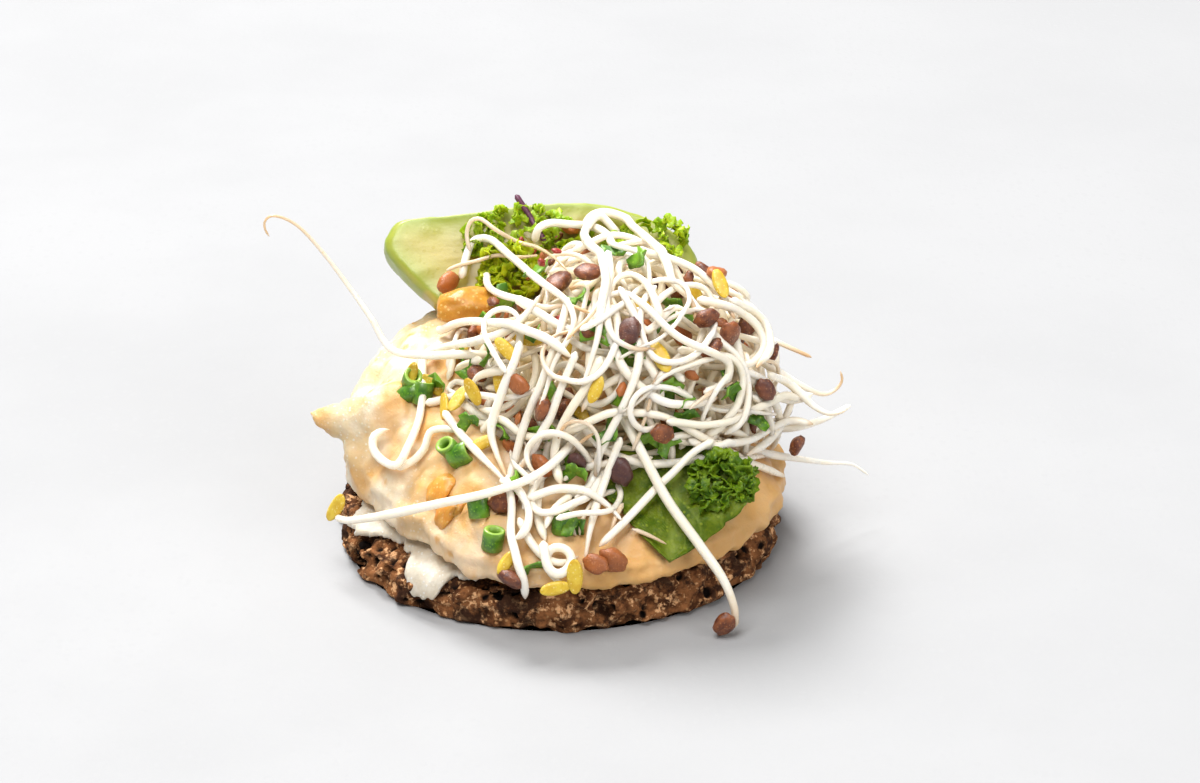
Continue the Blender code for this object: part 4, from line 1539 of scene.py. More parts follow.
def evenly(points: Sequence[Vector] | Points, spacing: float) -> Points:
    """A smooth curve through the points, as beads at an even spacing.

    Args:
        points: the points that it passes through, in millimetres.
        spacing: the distance between beads.

    Returns:
        The beads.
    """
    fine = np.array([tuple(p) for p in smooth([Vector(p) for p in points], 12 * len(points))])
    steps = np.linalg.norm(np.diff(fine, axis=0), axis=1)
    walked = np.concatenate([[0.0], np.cumsum(steps)])
    count = max(3, int(walked[-1] / spacing) + 1)
    wanted = np.linspace(0.0, walked[-1], count)
    return np.stack([np.interp(wanted, walked, fine[:, axis]) for axis in range(3)], axis=1)


def close_pairs(points: Points, reach: float) -> tuple[Numbers, Numbers]:
    """All pairs of points nearer than about reach, each pair once.

    Args:
        points: the points.
        reach: the distance, in their unit.

    Returns:
        The first and the second number of each pair.
    """
    cell = np.floor((points - points.min(0)) / reach).astype(np.int64) + 1
    shape = cell.max(0) + 2
    key = (cell[:, 0] * shape[1] + cell[:, 1]) * shape[2] + cell[:, 2]
    order = np.argsort(key, kind="stable")
    sorted_key = key[order]
    everyone = np.arange(len(points))
    firsts, seconds = [], []
    for x in (-1, 0, 1):
        for y in (-1, 0, 1):
            for z in (-1, 0, 1):
                if (x, y, z) < (0, 0, 0):
                    continue
                wanted = key + (x * shape[1] + y) * shape[2] + z
                start = np.searchsorted(sorted_key, wanted, "left")
                count = np.searchsorted(sorted_key, wanted, "right") - start
                first = np.repeat(everyone, count)
                step = np.arange(count.sum()) - np.repeat(np.cumsum(count) - count, count)
                second = order[np.repeat(start, count) + step]
                keep = first < second if (x, y, z) == (0, 0, 0) else np.ones(len(first), dtype=bool)
                firsts.append(first[keep])
                seconds.append(second[keep])
    return np.concatenate(firsts), np.concatenate(seconds)


def hull() -> Item:
    """One brown seed hull: a bean-shaped body with a dent along one side.

    Returns:
        The piece.
    """
    def shape(flat: Vector, azimuth: float) -> Vector:
        """The uneven, stretched and dented ball."""
        dent = 1.0 - 0.3 * hump(azimuth, 90.0, 40.0)
        flat = flat * (1.0 + 0.22 * noisy(flat, 0.6, 2.0))
        return Vector((1.55 * flat.z, 1.15 * flat.x * dent, 0.9 * flat.y * dent))

    return ball("hull", 12, 14, shape)


def seed_leaf() -> Item:
    """One yellow seed leaf: a flat oval body with a crease.

    Returns:
        The piece.
    """
    def shape(flat: Vector, _: float) -> Vector:
        """The flattened, creased and curled ball."""
        crease = 0.12 * math.exp(-((flat.x * 3.0) ** 2)) if flat.y > 0 else 0.0
        return Vector((1.75 * flat.z, 0.8 * flat.x, 0.42 * flat.y - crease + 0.25 * flat.z * flat.z))

    return ball("seed_leaf", 12, 14, shape)


def husk() -> Item:
    """One broken piece of a seed hull."""
    return pebble("husk", (0.85, 0.6, 0.35), 0.35, 9.0, 8, 10)


def green_bit() -> Item:
    """One small piece of herb between the sprouts."""
    return show("green_bit", leaflet_mesh(1.7))


def red_bit() -> Item:
    """One small red bit."""
    return pebble("red_bit", (0.75, 0.55, 0.4), 0.3, 6.0, 10, 12)


@dataclass(frozen=True)
class Grain:
    """One kind of small piece that lies in the heap.

    sights are where it shows, lift is how far it stands out of the heap there, more is how many others there
    are, spread is how much their sizes differ, end is the place and shade of one at a stem's end, and facing
    is how far their upper sides turn to the camera.
    """

    name: str
    make: Callable[[], Item]
    finish: Finish
    sights: tuple[Sight, ...]
    radius: float
    lift: float
    more: int
    spread: float
    end: tuple[Place, float] | None = None
    facing: float = 0.0


@dataclass
class Tangle:
    """Stems and small pieces as beads that are pushed apart until they only touch.

    near is how close two beads come before they are looked at, in millimetres. In each turn push is how
    strongly beads part, stiffness how strongly a stem takes its bends back, pull how strongly it keeps its
    length, and homing how strongly a shown stem keeps its place.
    """

    supports: BVHTree
    centre: Points
    reach: Points
    near: float = 1.6
    push: float = 1.6
    stiffness: float = 0.2
    pull: float = 0.45
    homing: float = 0.25
    gap: float = 0.02

    def settle(self, stems: list[Stem], turns: int) -> None:
        """Moves the stems' beads clear of each other and of the supports, keeping each stem's own bends.

        Args:
            stems: the stems, changed in place.
            turns: how many times each bead may move.
        """
        place = np.concatenate([stem.route for stem in stems])
        girth = np.concatenate([stem.girth for stem in stems])
        counts = [len(stem.route) for stem in stems]
        owner = np.repeat(np.arange(len(stems)), counts)
        hold = np.repeat([stem.layer.value for stem in stems], counts)
        home = place.copy()
        joined = np.flatnonzero(owner[:-1] == owner[1:])
        rest = np.linalg.norm(place[joined + 1] - place[joined], axis=1)
        inner = joined[:-1][owner[joined[:-1]] == owner[np.minimum(joined[:-1] + 2, len(owner) - 1)]] + 1
        bend = place[inner - 1] + place[inner + 1] - 2 * place[inner]
        ease = 1.0 - hold
        for turn in range(turns):
            if turn % 5 == 0:
                first, second = self.apart(place, owner)
            gap = place[first] - place[second]
            length = np.maximum(np.linalg.norm(gap, axis=1), 1e-6)
            overlap = girth[first] + girth[second] + self.gap - length
            hit = overlap > 0
            push = gap[hit] * (0.5 * overlap[hit] / length[hit])[:, None]
            move, count = np.zeros_like(place), np.ones(len(place))
            for index, sign in ((first[hit], 1.0), (second[hit], -1.0)):
                np.add.at(move, index, sign * push)
                np.add.at(count, index, 0.6)
            place += move / count[:, None] * (0.35 + 0.65 * ease)[:, None] * self.push
            stray = place[inner - 1] + place[inner + 1] - 2 * place[inner] - bend
            place[inner] += self.stiffness * stray
            link = place[joined + 1] - place[joined]
            stretch = np.linalg.norm(link, axis=1)
            fix = link * (self.pull * (stretch - rest) / np.maximum(stretch, 1e-6))[:, None]
            place[joined] += fix
            place[joined + 1] -= fix
            place += self.homing * hold[:, None] * (home - place)
            self.rein_in(place, ease)
            if turn % 3 == 2 or turn > turns - 3:
                for k in range(len(place)):
                    place[k] = standing_off(Vector(place[k]), self.supports, girth[k] + 0.05)
        first, second = self.apart(place, owner)
        overlap = girth[first] + girth[second] - np.linalg.norm(place[first] - place[second], axis=1)
        LOG.info("heap: %d stems, %d beads, %d pairs overlap by over 0.2 mm", len(stems), len(place),
                 int((overlap > 0.2).sum()))
        start = 0
        for stem in stems:
            stem.route = place[start:start + len(stem.route)]
            start += len(stem.route)
            # deep is how far inside the heap a bead lies; the stem finish paints warm shade with it.
            away = np.linalg.norm((stem.route - self.centre) / self.reach, axis=1)
            stem.deep = np.clip((1.0 - away) / 0.28, 0.0, 1.0)

    def apart(self, place: Points, owner: Numbers) -> tuple[Numbers, Numbers]:
        """Pairs of near beads that aren't neighbours on one stem.

        Args:
            place: the beads' places.
            owner: the number of each bead's stem.

        Returns:
            The first and the second number of each pair.
        """
        first, second = close_pairs(place, self.near)
        keep = (owner[first] != owner[second]) | (np.abs(first - second) > 3)
        return first[keep], second[keep]

    def rein_in(self, place: Points, ease: Points) -> None:
        """Draws loose beads that have left the heap's outline back to it.

        Args:
            place: the beads' places, changed in place.
            ease: how free each bead is to move.
        """
        away = (place - self.centre) / self.reach
        far = np.linalg.norm(away, axis=1)
        out = (far > 1.0) & (ease > 0.9)
        place[out] -= ((place[out] - self.centre) * ((far[out] - 1.0) / far[out])[:, None]) * 0.3


@dataclass
class SproutHeap(Part):
    """The tangled heap of sprouts, with its seed hulls, yellow seed leaves and bits of herb.

    Stems and grains that the photograph shows are laid out as the camera sees them. The rest is left to
    chance.
    """

    supports: BVHTree
    camera: "Camera"
    centre: Place = (6.2, 0.2, 17.4)
    reach: Place = (18.6, 16.8, 16.9)
    spacing: float = 0.9
    stem_radius: float = 0.44
    loose_stems: int = 108
    draped: tuple[tuple[float, float, float, float, int], ...] = (
        (4.5, 3.5, 11.0, 9.0, 12), (-3.0, -10.0, 6.5, 5.5, 11), (12.0, -2.0, 7.0, 5.0, 8),
        (-10.0, 3.0, 4.5, 5.0, 4))
    clear: tuple[Sight, ...] = ((-9.5, 13.0), (-13.5, 15.5), (-9.0, 17.5), (-13.0, 10.5))
    clear_reach: float = 3.6
    highest: float = 34.5
    nearest: float = -25.5
    stride: float = 1.5
    turns: int = 90
    seed: int = 5

    def __post_init__(self) -> None:
        """Starts the source of chance."""
        self.draw = np.random.default_rng(self.seed)

    def build(self) -> None:
        """Makes, settles and dresses the heap."""
        shown = [self.shown_stem(route) for route in SHOWN_STEMS]
        shown += [self.thread(route) for route in SHOWN_THREADS]
        reaching = [self.finished(route, thick, thin, root, Layer.REACHING)
                    for route, thick, thin, root in REACHING_STEMS]
        loose = [self.loose_stem(number) for number in range(self.loose_stems)]
        draped = [self.draped_stem(area) for area in self.draped for _ in range(area[4])]
        grains = [(grain, self.beads(grain)) for grain in GRAINS]
        stems = [*shown, *reaching, *loose, *draped, *(bead for _, beads in grains for bead in beads)]
        Tangle(self.supports, np.array(self.centre), np.array(self.reach)).settle(stems, self.turns)
        finish = STEM.material()
        for name, group, sides, step, nodes in (
                ("sprout_stems_outer", [*shown, *reaching, *draped], 10, 0.45, ["sprouts"]),
                ("sprout_stems_inner", loose, 8, 0.6, [])):
            values = {"Sides": sides, "Step": step * MM, "Finish": finish}
            item = grown(name, lines_mesh(name, group), self.kit.tubes, values)
            self.kit.keep(item, Slot.SPROUTS, *nodes)
        for grain, beads in grains:
            self.scatter(grain, beads)

    def profile(self, count: int, thick: float, thin: float, root: float) -> Points:
        """Radius along a stem, uneven, and thinner towards its root.

        Args:
            count: how many beads it has.
            thick: its radius in millimetres.
            thin: its radius at the root's end.
            root: the share of its length that is root.

        Returns:
            A radius for each bead.
        """
        along = np.linspace(0.0, 1.0, count)
        girth = thick * (1.0 + 0.07 * np.sin(6.0 * along + self.draw.uniform(0, 6)))
        taper = np.clip((along - (1.0 - root)) / max(root, 1e-6), 0.0, 1.0) ** 0.8
        return girth + (thin - girth) * taper

    def finished(self, route: Iterable[Sequence[float]], thick: float, thin: float, root: float,
                 layer: Layer) -> Stem:
        """A stem along a route, with its girth, its browning root and its tone.

        Args:
            route: the points that it passes through.
            thick: its radius in millimetres.
            thin: its radius at the root's end.
            root: the share of its length that is root.
            layer: how it lies.

        Returns:
            The stem.
        """
        beads = evenly([Vector(p) for p in route], self.spacing)
        along = np.linspace(0.0, 1.0, len(beads))
        browned = np.clip((along - (1.0 - 0.7 * root)) / (0.6 * root), 0.0, 1.0)
        browned = browned * float(self.draw.choice([0.1, 0.5, 0.95]))
        girth = self.profile(len(beads), thick, thin, root)
        return Stem(beads, girth, layer, browned, tone=float(self.draw.uniform()))

    def shown_stem(self, sights: Sequence[Sight]) -> Stem:
        """A stem of the photograph's side, laid on the heap where the camera sees it.

        Args:
            sights: its route as seen.

        Returns:
            The stem.
        """
        depths = np.array([self.depth(sight) for sight in sights])
        ends = np.pad(depths, 1, mode="edge")
        depths = np.minimum(depths, (ends[:-2] + 2 * ends[1:-1] + ends[2:]) / 4)
        lift = self.draw.uniform(0.4, 2.0)
        route = [self.camera.along(sight, depth - lift) for sight, depth in zip(sights, depths)]
        root = float(self.draw.choice([0.05, 0.2, 0.4]))
        thick = self.stem_radius * self.draw.uniform(0.92, 1.15)
        return self.finished(route, thick, 0.2, root, Layer.SHOWN)

    def thread(self, sights: Sequence[Sight]) -> Stem:
        """A thin brownish root of the photograph's side, laid out like a shown stem.

        Args:
            sights: its route as seen.

        Returns:
            The stem.
        """
        stem = self.shown_stem(sights)
        count = len(stem.route)
        stem.girth = self.profile(count, self.draw.uniform(0.2, 0.27), 0.12, 0.5)
        stem.root = np.linspace(0.5, 0.9, count)
        return stem

    def draped_stem(self, area: tuple[float, float, float, float, int]) -> Stem:
        """A stem that wanders over the side of the heap that hangs down in front.

        Args:
            area: the middle and the half sizes, as seen, of the part of the heap where it starts.

        Returns:
            The stem.
        """
        draw = self.draw
        angle, radius = draw.uniform(0, 2 * math.pi), math.sqrt(draw.uniform(0, 1))
        right = area[0] + area[2] * radius * math.cos(angle)
        up = area[1] + area[3] * radius * math.sin(angle)
        heading, bend = draw.uniform(0, 2 * math.pi), draw.uniform(-0.2, 0.2)
        curl = float(draw.choice([0.0, 0.0, 0.16, -0.16, 0.3]))
        level, sway, phase = draw.uniform(-1.4, 1.6), draw.uniform(0.4, 1.3), draw.uniform(0, 6.3)
        route = []
        for step in range(int(draw.integers(9, 20))):
            depth = self.depth((right, up)) - 0.6 - level - sway * math.sin(phase + 0.5 * step)
            point = self.camera.along((right, up), depth)
            away = math.hypot((right - area[0]) / area[2], (up - area[1]) / area[3])
            if away > 1.25 or point.z > self.highest or point.y < self.nearest:
                break
            route.append(point)
            if away > 0.8:
                heading += 0.6 * math.sin(math.atan2(area[1] - up, area[0] - right) - heading)
            bend = 0.8 * bend + draw.normal(0.0, 0.12)
            heading += bend + curl
            right += self.stride * math.cos(heading)
            up += self.stride * math.sin(heading)
        if len(route) < 4:
            return self.draped_stem(area)
        root = float(draw.choice([0.1, 0.4, 0.8]))
        return self.finished(route, self.stem_radius * draw.uniform(0.7, 1.05), 0.17, root, Layer.DRAPED)

    def loose_stem(self, number: int) -> Stem:
        """A stem that wanders through the heap, in arcs of its own.

        Args:
            number: which stem it is; the first ones lie deepest.

        Returns:
            The stem.
        """
        draw, centre, reach = self.draw, Vector(self.centre), self.reach
        depth = 0.45 + 0.5 * math.sqrt(number / self.loose_stems)
        level = draw.uniform(-0.15, 0.97)
        flat = around(number * 137.5 + draw.uniform(-30, 30), math.sqrt(1.0 - level * level), level)
        point = centre + Vector([flat[k] * reach[k] * depth for k in range(3)])
        outward = flat.normalized()
        heading = outward.cross(Vector(draw.normal(size=3))).normalized()
        bend, phase, swell = draw.uniform(-0.2, 0.2), draw.uniform(0, 6.3), draw.uniform(0.05, 0.16)
        curl = float(draw.choice([0.0, 0.0, 0.15, -0.15, 0.28]))
        sag = Vector((0.0, 0.0, -0.02))
        route = []
        for step in range(int(draw.integers(18, 36))):
            shell = min(1.0, depth + swell * math.sin(phase + 0.45 * step))
            away = point - centre
            scaled = math.sqrt(sum((away[k] / reach[k]) ** 2 for k in range(3)))
            point = point - away * (1.0 - shell / max(scaled, 1e-6)) * 0.5
            point = standing_off(point, self.supports, self.stem_radius + 0.1)
            right, up = self.camera.sight(point)
            if any(math.hypot(right - x, up - y) < self.clear_reach for x, y in self.clear):
                break
            route.append(point.copy())
            outward = (point - centre).normalized()
            bend = 0.8 * bend + draw.normal(0.0, 0.11)
            heading = (heading - outward * heading.dot(outward)).normalized()
            heading = (Matrix.Rotation(bend + curl, 3, outward) @ heading + sag).normalized()
            point = point + heading * 1.25
        if len(route) < 5:
            return self.loose_stem(number)
        root = float(draw.choice([0.1, 0.35, 0.7]))
        return self.finished(route, self.stem_radius * draw.uniform(0.75, 1.1), 0.2, root, Layer.LOOSE)

    def depth(self, sight: Sight) -> float:
        """How far from the camera a line of sight meets the heap's outline or what it rests on.

        Args:
            sight: the line of sight.

        Returns:
            The distance in millimetres.
        """
        origin, direction = self.camera.ray(sight)
        reach = Vector(self.reach)
        start = origin - Vector(self.centre)
        start = Vector([start[k] / reach[k] for k in range(3)])
        slope = Vector([direction[k] / reach[k] for k in range(3)])
        a, b, c = slope.dot(slope), start.dot(slope), start.dot(start) - 1.0
        found = []
        if b * b > a * c:
            found.append((-b - math.sqrt(b * b - a * c)) / a)
        hit, _, _, far = self.supports.ray_cast(origin, direction)
        if hit is not None:
            found.append(far)
        return min(found) if found else -b / a

    def beads(self, grain: Grain) -> list[Stem]:
        """Small pieces as stems of one bead: those that show, and more of them round the heap.

        Args:
            grain: their kind.

        Returns:
            One bead each.
        """
        places = [self.camera.along(sight, self.depth(sight) - grain.lift) for sight in grain.sights]
        for _ in range(grain.more):
            level = self.draw.uniform(-0.1, 0.92)
            flat = around(self.draw.uniform(0.0, 360.0), math.sqrt(1.0 - level * level), level)
            flat = flat * self.draw.uniform(0.72, 0.97)
            places.append(Vector([self.centre[k] + flat[k] * self.reach[k] for k in range(3)]))
        toned = [(place, float(self.draw.uniform())) for place in places]
        if grain.end:
            toned.append(grain.end)
        return [Stem(np.array([tuple(place)]), np.array([grain.radius]), Layer.SHOWN, tone=tone)
                for place, tone in toned]

    def scatter(self, grain: Grain, beads: Sequence[Stem]) -> None:
        """Sets a copy of a small piece on each bead.

        Args:
            grain: its kind.
            beads: where the copies go.
        """
        spots = []
        towards = grain.facing * self.camera.back
        for bead in beads:
            place = Vector(bead.route[0])
            outward = (place - Vector(self.centre)).normalized()
            size = float(self.draw.uniform(1.0 - grain.spread, 1.0 + grain.spread))
            up = (outward + towards + 0.5 * Vector(self.draw.normal(size=3))).normalized()
            along = Vector(self.draw.normal(size=3))
            spots.append(Spot.facing(place, up, along, (size, size, size), bead.tone))
        item = self.kit.scattered(grain.name, grain.make(), spots, grain.finish.material())
        self.kit.keep(item, Slot.SPROUTS)


# Stems seen from the photograph's side: millimetres right and up in the plane through the camera's target
SHOWN_STEMS: tuple[tuple[Sight, ...], ...] = (
    ((-17.8, 5.2), (-19.6, 3.6), (-19.5, 0.2), (-20.1, -3.2), (-21.4, -6.3), (-22.5, -8.2), (-24.2, -7.6),
     (-25.2, -6.2), (-24.9, -4.7), (-23.5, -4.3)),
    ((-22.5, -8.3), (-20.9, -7.7), (-19.5, -6.3), (-18.9, -4.5), (-17.2, -4.1), (-15.3, -4.5)),
    ((-17.2, -2.4), (-15.8, -4.3), (-14.3, -6.0), (-13.0, -7.4), (-11.9, -8.5), (-10.3, -10.2)),
    ((-10.5, -9.6), (-9.9, -12.6), (-9.8, -15.8), (-9.0, -18.7), (-8.4, -20.9), (-8.3, -22.9)),
    ((-6.1, -17.0), (-5.6, -19.8), (-4.2, -20.3), (-3.2, -18.9), (-4.1, -17.5), (-5.7, -17.6),
     (-6.0, -19.4), (-4.4, -21.3), (-2.3, -21.1)),
    ((2.0, 17.7), (-0.1, 19.5), (-1.7, 17.7), (-1.1, 16.3), (0.3, 15.0), (0.9, 12.2), (0.3, 9.0),
     (-0.2, 6.3), (-1.0, 3.4), (-1.8, 0.7)),
    ((-15.3, 12.9), (-14.8, 15.2), (-14.0, 16.8), (-12.2, 16.9), (-9.9, 15.0), (-6.8, 12.4), (-3.9, 10.2),
     (-2.9, 8.2), (-3.3, 6.3), (-5.0, 3.4), (-5.9, 0.3), (-6.5, -1.8)),
    ((11.1, 10.2), (14.7, 9.2), (17.3, 7.4), (18.5, 5.1), (17.4, 3.5), (15.8, 2.8), (13.5, 3.5)),
    ((8.9, 4.6), (11.1, 4.4), (14.4, 3.8), (15.8, 1.7), (15.3, -1.2), (13.8, -3.7), (11.5, -5.2)),
    ((-13.3, -4.1), (-11.2, -3.3), (-7.7, -5.1), (-3.2, -4.2), (1.3, -2.4), (5.8, -2.6), (9.3, -3.7),
     (12.4, -5.7), (16.9, -7.9), (20.4, -9.4)),
    ((-3.3, -3.2), (-1.4, -4.3), (0.3, -6.4), (3.6, -7.7), (8.0, -7.9), (12.4, -7.3), (16.0, -7.5),
     (19.4, -6.7)),
    ((12.2, -5.4), (10.2, -6.8), (8.2, -8.9), (6.2, -10.8), (3.6, -13.5), (1.3, -15.8), (0.0, -17.1)),
    ((21.6, -0.1), (21.3, -1.5), (20.4, -3.3), (18.6, -5.5), (16.4, -7.0)),
    ((18.9, 1.8), (20.9, 0.9), (23.5, -1.5), (25.5, -2.5), (27.2, -2.1)),
    ((-3.8, 10.2), (-4.4, 6.8), (-5.8, 2.9), (-7.1, -0.9), (-8.4, -4.3), (-9.4, -7.8), (-9.8, -10.9)),
    ((-8.9, 5.2), (-9.8, 2.2), (-11.1, -0.9), (-12.0, -4.3), (-11.4, -7.0), (-10.4, -9.3)),
    ((-2.8, 4.1), (-4.4, 0.2), (-5.8, -3.2), (-7.2, -5.9), (-8.9, -8.7)),
    ((-7.2, 16.8), (-6.8, 18.1), (-5.4, 18.7), (-3.3, 18.5), (-0.9, 18.3), (0.8, 17.4), (1.6, 16.2),
     (3.9, 15.6), (5.1, 14.6), (5.5, 12.5), (5.1, 10.0)),
    ((-1.7, 18.5), (-0.9, 19.5), (0.8, 19.8), (2.8, 19.2), (3.7, 18.3), (6.1, 16.2), (7.4, 14.2),
     (8.2, 12.1), (10.2, 10.0), (10.8, 8.0)),
    ((-12.6, 12.9), (-12.4, 11.7), (-11.1, 10.8), (-8.7, 10.0), (-6.2, 9.3), (-3.7, 9.6), (-1.3, 8.8)),
    ((0.8, 15.4), (0.9, 12.9), (0.6, 10.5), (0.8, 8.0), (1.6, 5.9), (3.9, 4.7), (6.1, 4.7)),
    ((2.4, 11.3), (3.7, 8.8), (5.1, 6.8), (6.7, 8.2), (8.2, 9.3), (10.2, 8.8)),
    ((9.4, 10.9), (11.1, 8.8), (13.1, 5.9), (15.5, 3.5), (16.4, 0.2), (15.6, -3.1), (13.9, -4.7)),
    ((14.7, 10.0), (17.2, 8.8), (18.5, 7.2), (18.5, 4.7), (17.4, 2.7)),
    ((-17.8, 6.8), (-15.3, 7.7), (-12.2, 7.7), (-8.9, 7.0), (-5.8, 5.7), (-3.3, 3.9)),
    ((-18.9, 4.4), (-16.1, 5.2), (-13.1, 5.7), (-10.5, 6.8), (-8.3, 8.5), (-6.7, 10.6)),
    ((-19.1, -1.5), (-16.4, -0.7), (-13.5, -0.4), (-10.5, -0.7), (-7.8, -0.1), (-5.3, 1.5)),
    ((-8.9, 10.2), (-6.1, 8.2), (-3.1, 6.8), (0.2, 5.9), (3.6, 4.4), (6.1, 1.9), (7.1, -1.2)),
    ((1.1, 6.8), (2.4, 3.5), (4.4, 0.7), (6.9, -0.9), (10.0, -1.5), (12.9, -0.7)),
    ((0.0, 3.5), (-1.3, 0.7), (-3.1, -1.8), (-4.4, -4.5), (-4.9, -7.4), (-4.4, -10.3)),
    ((4.4, 5.7), (4.0, 2.4), (2.9, -0.9), (1.3, -3.8), (0.0, -6.7), (-0.7, -9.8)),
    ((-4.4, -4.3), (-5.8, -7.2), (-6.7, -10.5), (-6.9, -13.7), (-6.1, -16.5)),
    ((0.0, -6.7), (-0.9, -9.6), (-2.4, -12.0), (-4.4, -13.7), (-6.1, -14.5)),
    ((2.2, -5.4), (1.1, -8.7), (-0.2, -12.0), (-1.1, -15.4), (-1.6, -18.3)),
    ((-8.9, -14.3), (-7.8, -16.5), (-6.1, -18.3), (-4.2, -18.9), (-2.4, -18.3)),
    ((-10.5, -9.8), (-8.9, -10.9), (-7.8, -12.9), (-8.2, -15.2), (-9.5, -16.3)),
    ((15.0, 5.7), (16.4, 2.2), (18.9, -0.1), (21.3, -0.9), (23.5, -0.3)),
    ((15.5, 2.8), (17.8, 1.3), (19.5, -1.2), (20.0, -4.1), (18.9, -6.5)),
    ((7.5, -3.2), (11.1, -3.7), (14.4, -3.2), (17.5, -1.8), (20.0, -0.5), (22.2, -0.7)),
    ((10.0, -5.4), (13.3, -5.9), (16.4, -5.4), (19.1, -4.1), (21.1, -3.2), (23.5, -3.6)),
    ((4.4, 15.7), (7.8, 14.8), (11.1, 13.3), (13.5, 11.0), (14.9, 8.2)),
    ((-8.9, -8.7), (-6.1, -7.8), (-3.1, -7.8), (0.0, -8.7), (3.1, -8.5), (5.6, -7.0)),
    ((-7.8, -12.0), (-4.9, -10.9), (-1.8, -11.2), (0.7, -12.6), (2.4, -14.3)),
)
SHOWN_THREADS: tuple[tuple[Sight, ...], ...] = (
    ((-14.6, 15.6), (-14.8, 17.4), (-14.3, 18.9), (-13.2, 19.1), (-11.5, 17.9), (-9.1, 16.6), (-7.0, 16.0),
     (-5.0, 14.8), (-3.7, 13.5)),
    ((-16.9, 13.5), (-15.6, 14.0), (-13.6, 14.5), (-11.5, 15.1), (-9.1, 14.9), (-7.0, 15.1)),
    ((3.7, -15.3), (5.3, -15.9), (7.3, -16.9)),
    ((3.9, -6.4), (4.6, -4.3), (5.5, -1.7), (6.2, 1.0), (7.1, 2.7)),
    ((10.0, -1.9), (11.5, -0.7), (12.9, 0.2), (14.7, 1.0)),
    ((2.3, -12.5), (1.6, -14.2), (1.1, -16.0)),
)
SHOWN_HULLS: tuple[Sight, ...] = (
    (-16.9, 12.1), (-1.3, 13.3), (11.8, 8.2), (14.5, 6.4), (3.0, 6.6), (12.1, 4.3), (18.2, 0.6),
    (21.9, -6.0), (-9.5, 1.0), (-6.5, -1.9), (-6.4, -8.4), (-2.5, -8.2), (6.9, -4.5), (-10.4, -12.0),
    (-0.4, -19.1), (1.4, -18.7), (-9.8, -20.8), (12.4, 12.8), (-2.9, 18.5), (2.0, -8.6))
SHOWN_HULL_BITS: tuple[Sight, ...] = (
    (5.3, 7.2), (10.2, 1.8), (2.4, 0.2), (-4.6, 17.2), (-10.3, 6.6), (20.9, -2.3), (-0.9, 5.9),
    (-8.7, 10.0), (-11.9, 10.0), (12.3, -0.0), (-9.1, -3.1), (-8.5, -9.3), (-9.9, -6.0), (11.3, 4.7))
SHOWN_SEED_LEAVES: tuple[Sight, ...] = (
    (-10.3, 4.6), (-0.9, 0.6), (6.7, 3.7), (-21.1, 1.6), (-18.9, 0.7), (-13.9, -0.1), (-15.5, -0.7),
    (-17.2, -1.5), (-13.0, -5.7), (-10.4, -19.0), (-4.8, -21.5), (-3.0, -20.4), (13.3, 11.6))
SHOWN_GREENS: tuple[Sight, ...] = (
    (7.4, -0.4), (13.9, 1.2), (14.1, -1.2), (0.2, -4.3), (-3.1, -14.0), (-4.3, -14.8), (5.1, -6.4),
    (-7.2, 7.4), (-12.8, 4.9), (3.5, 3.5), (-0.7, 5.8), (7.1, 8.8), (-2.5, -10.1), (-8.7, -10.1),
    (8.2, -6.0), (17.0, -3.9), (4.1, 13.5), (9.0, -1.7), (-13.2, -4.1), (-10.9, -3.9), (1.2, 15.2),
    (-7.0, -3.1), (-4.6, -6.4), (2.0, -2.3), (10.2, -3.9), (-7.8, -19.5))
SHOWN_RED_BITS: tuple[Sight, ...] = ((-8.3, 15.4), (-6.5, 14.3), (-9.3, 16.3), (-4.8, 15.6))
GRAINS = (
    Grain("seed_hulls", hull, HULL, SHOWN_HULLS, 1.0, 1.5, 40, 0.12, end=((18.0, -25.4, 1.6), 0.2)),
    Grain("hull_pieces", husk, HULL, SHOWN_HULL_BITS, 0.6, 0.7, 26, 0.25),
    Grain("seed_leaves", seed_leaf, SEED_LEAF, SHOWN_SEED_LEAVES, 0.75, 1.6, 14, 0.15,
          end=((-24.3, -9.4, 7.4), 0.5), facing=1.3),
    Grain("green_bits", green_bit, GREEN_BIT, SHOWN_GREENS, 1.1, 0.6, 34, 0.2),
    Grain("red_bits", red_bit, RED_BIT, SHOWN_RED_BITS, 0.6, 1.5, 3, 0.3),
)

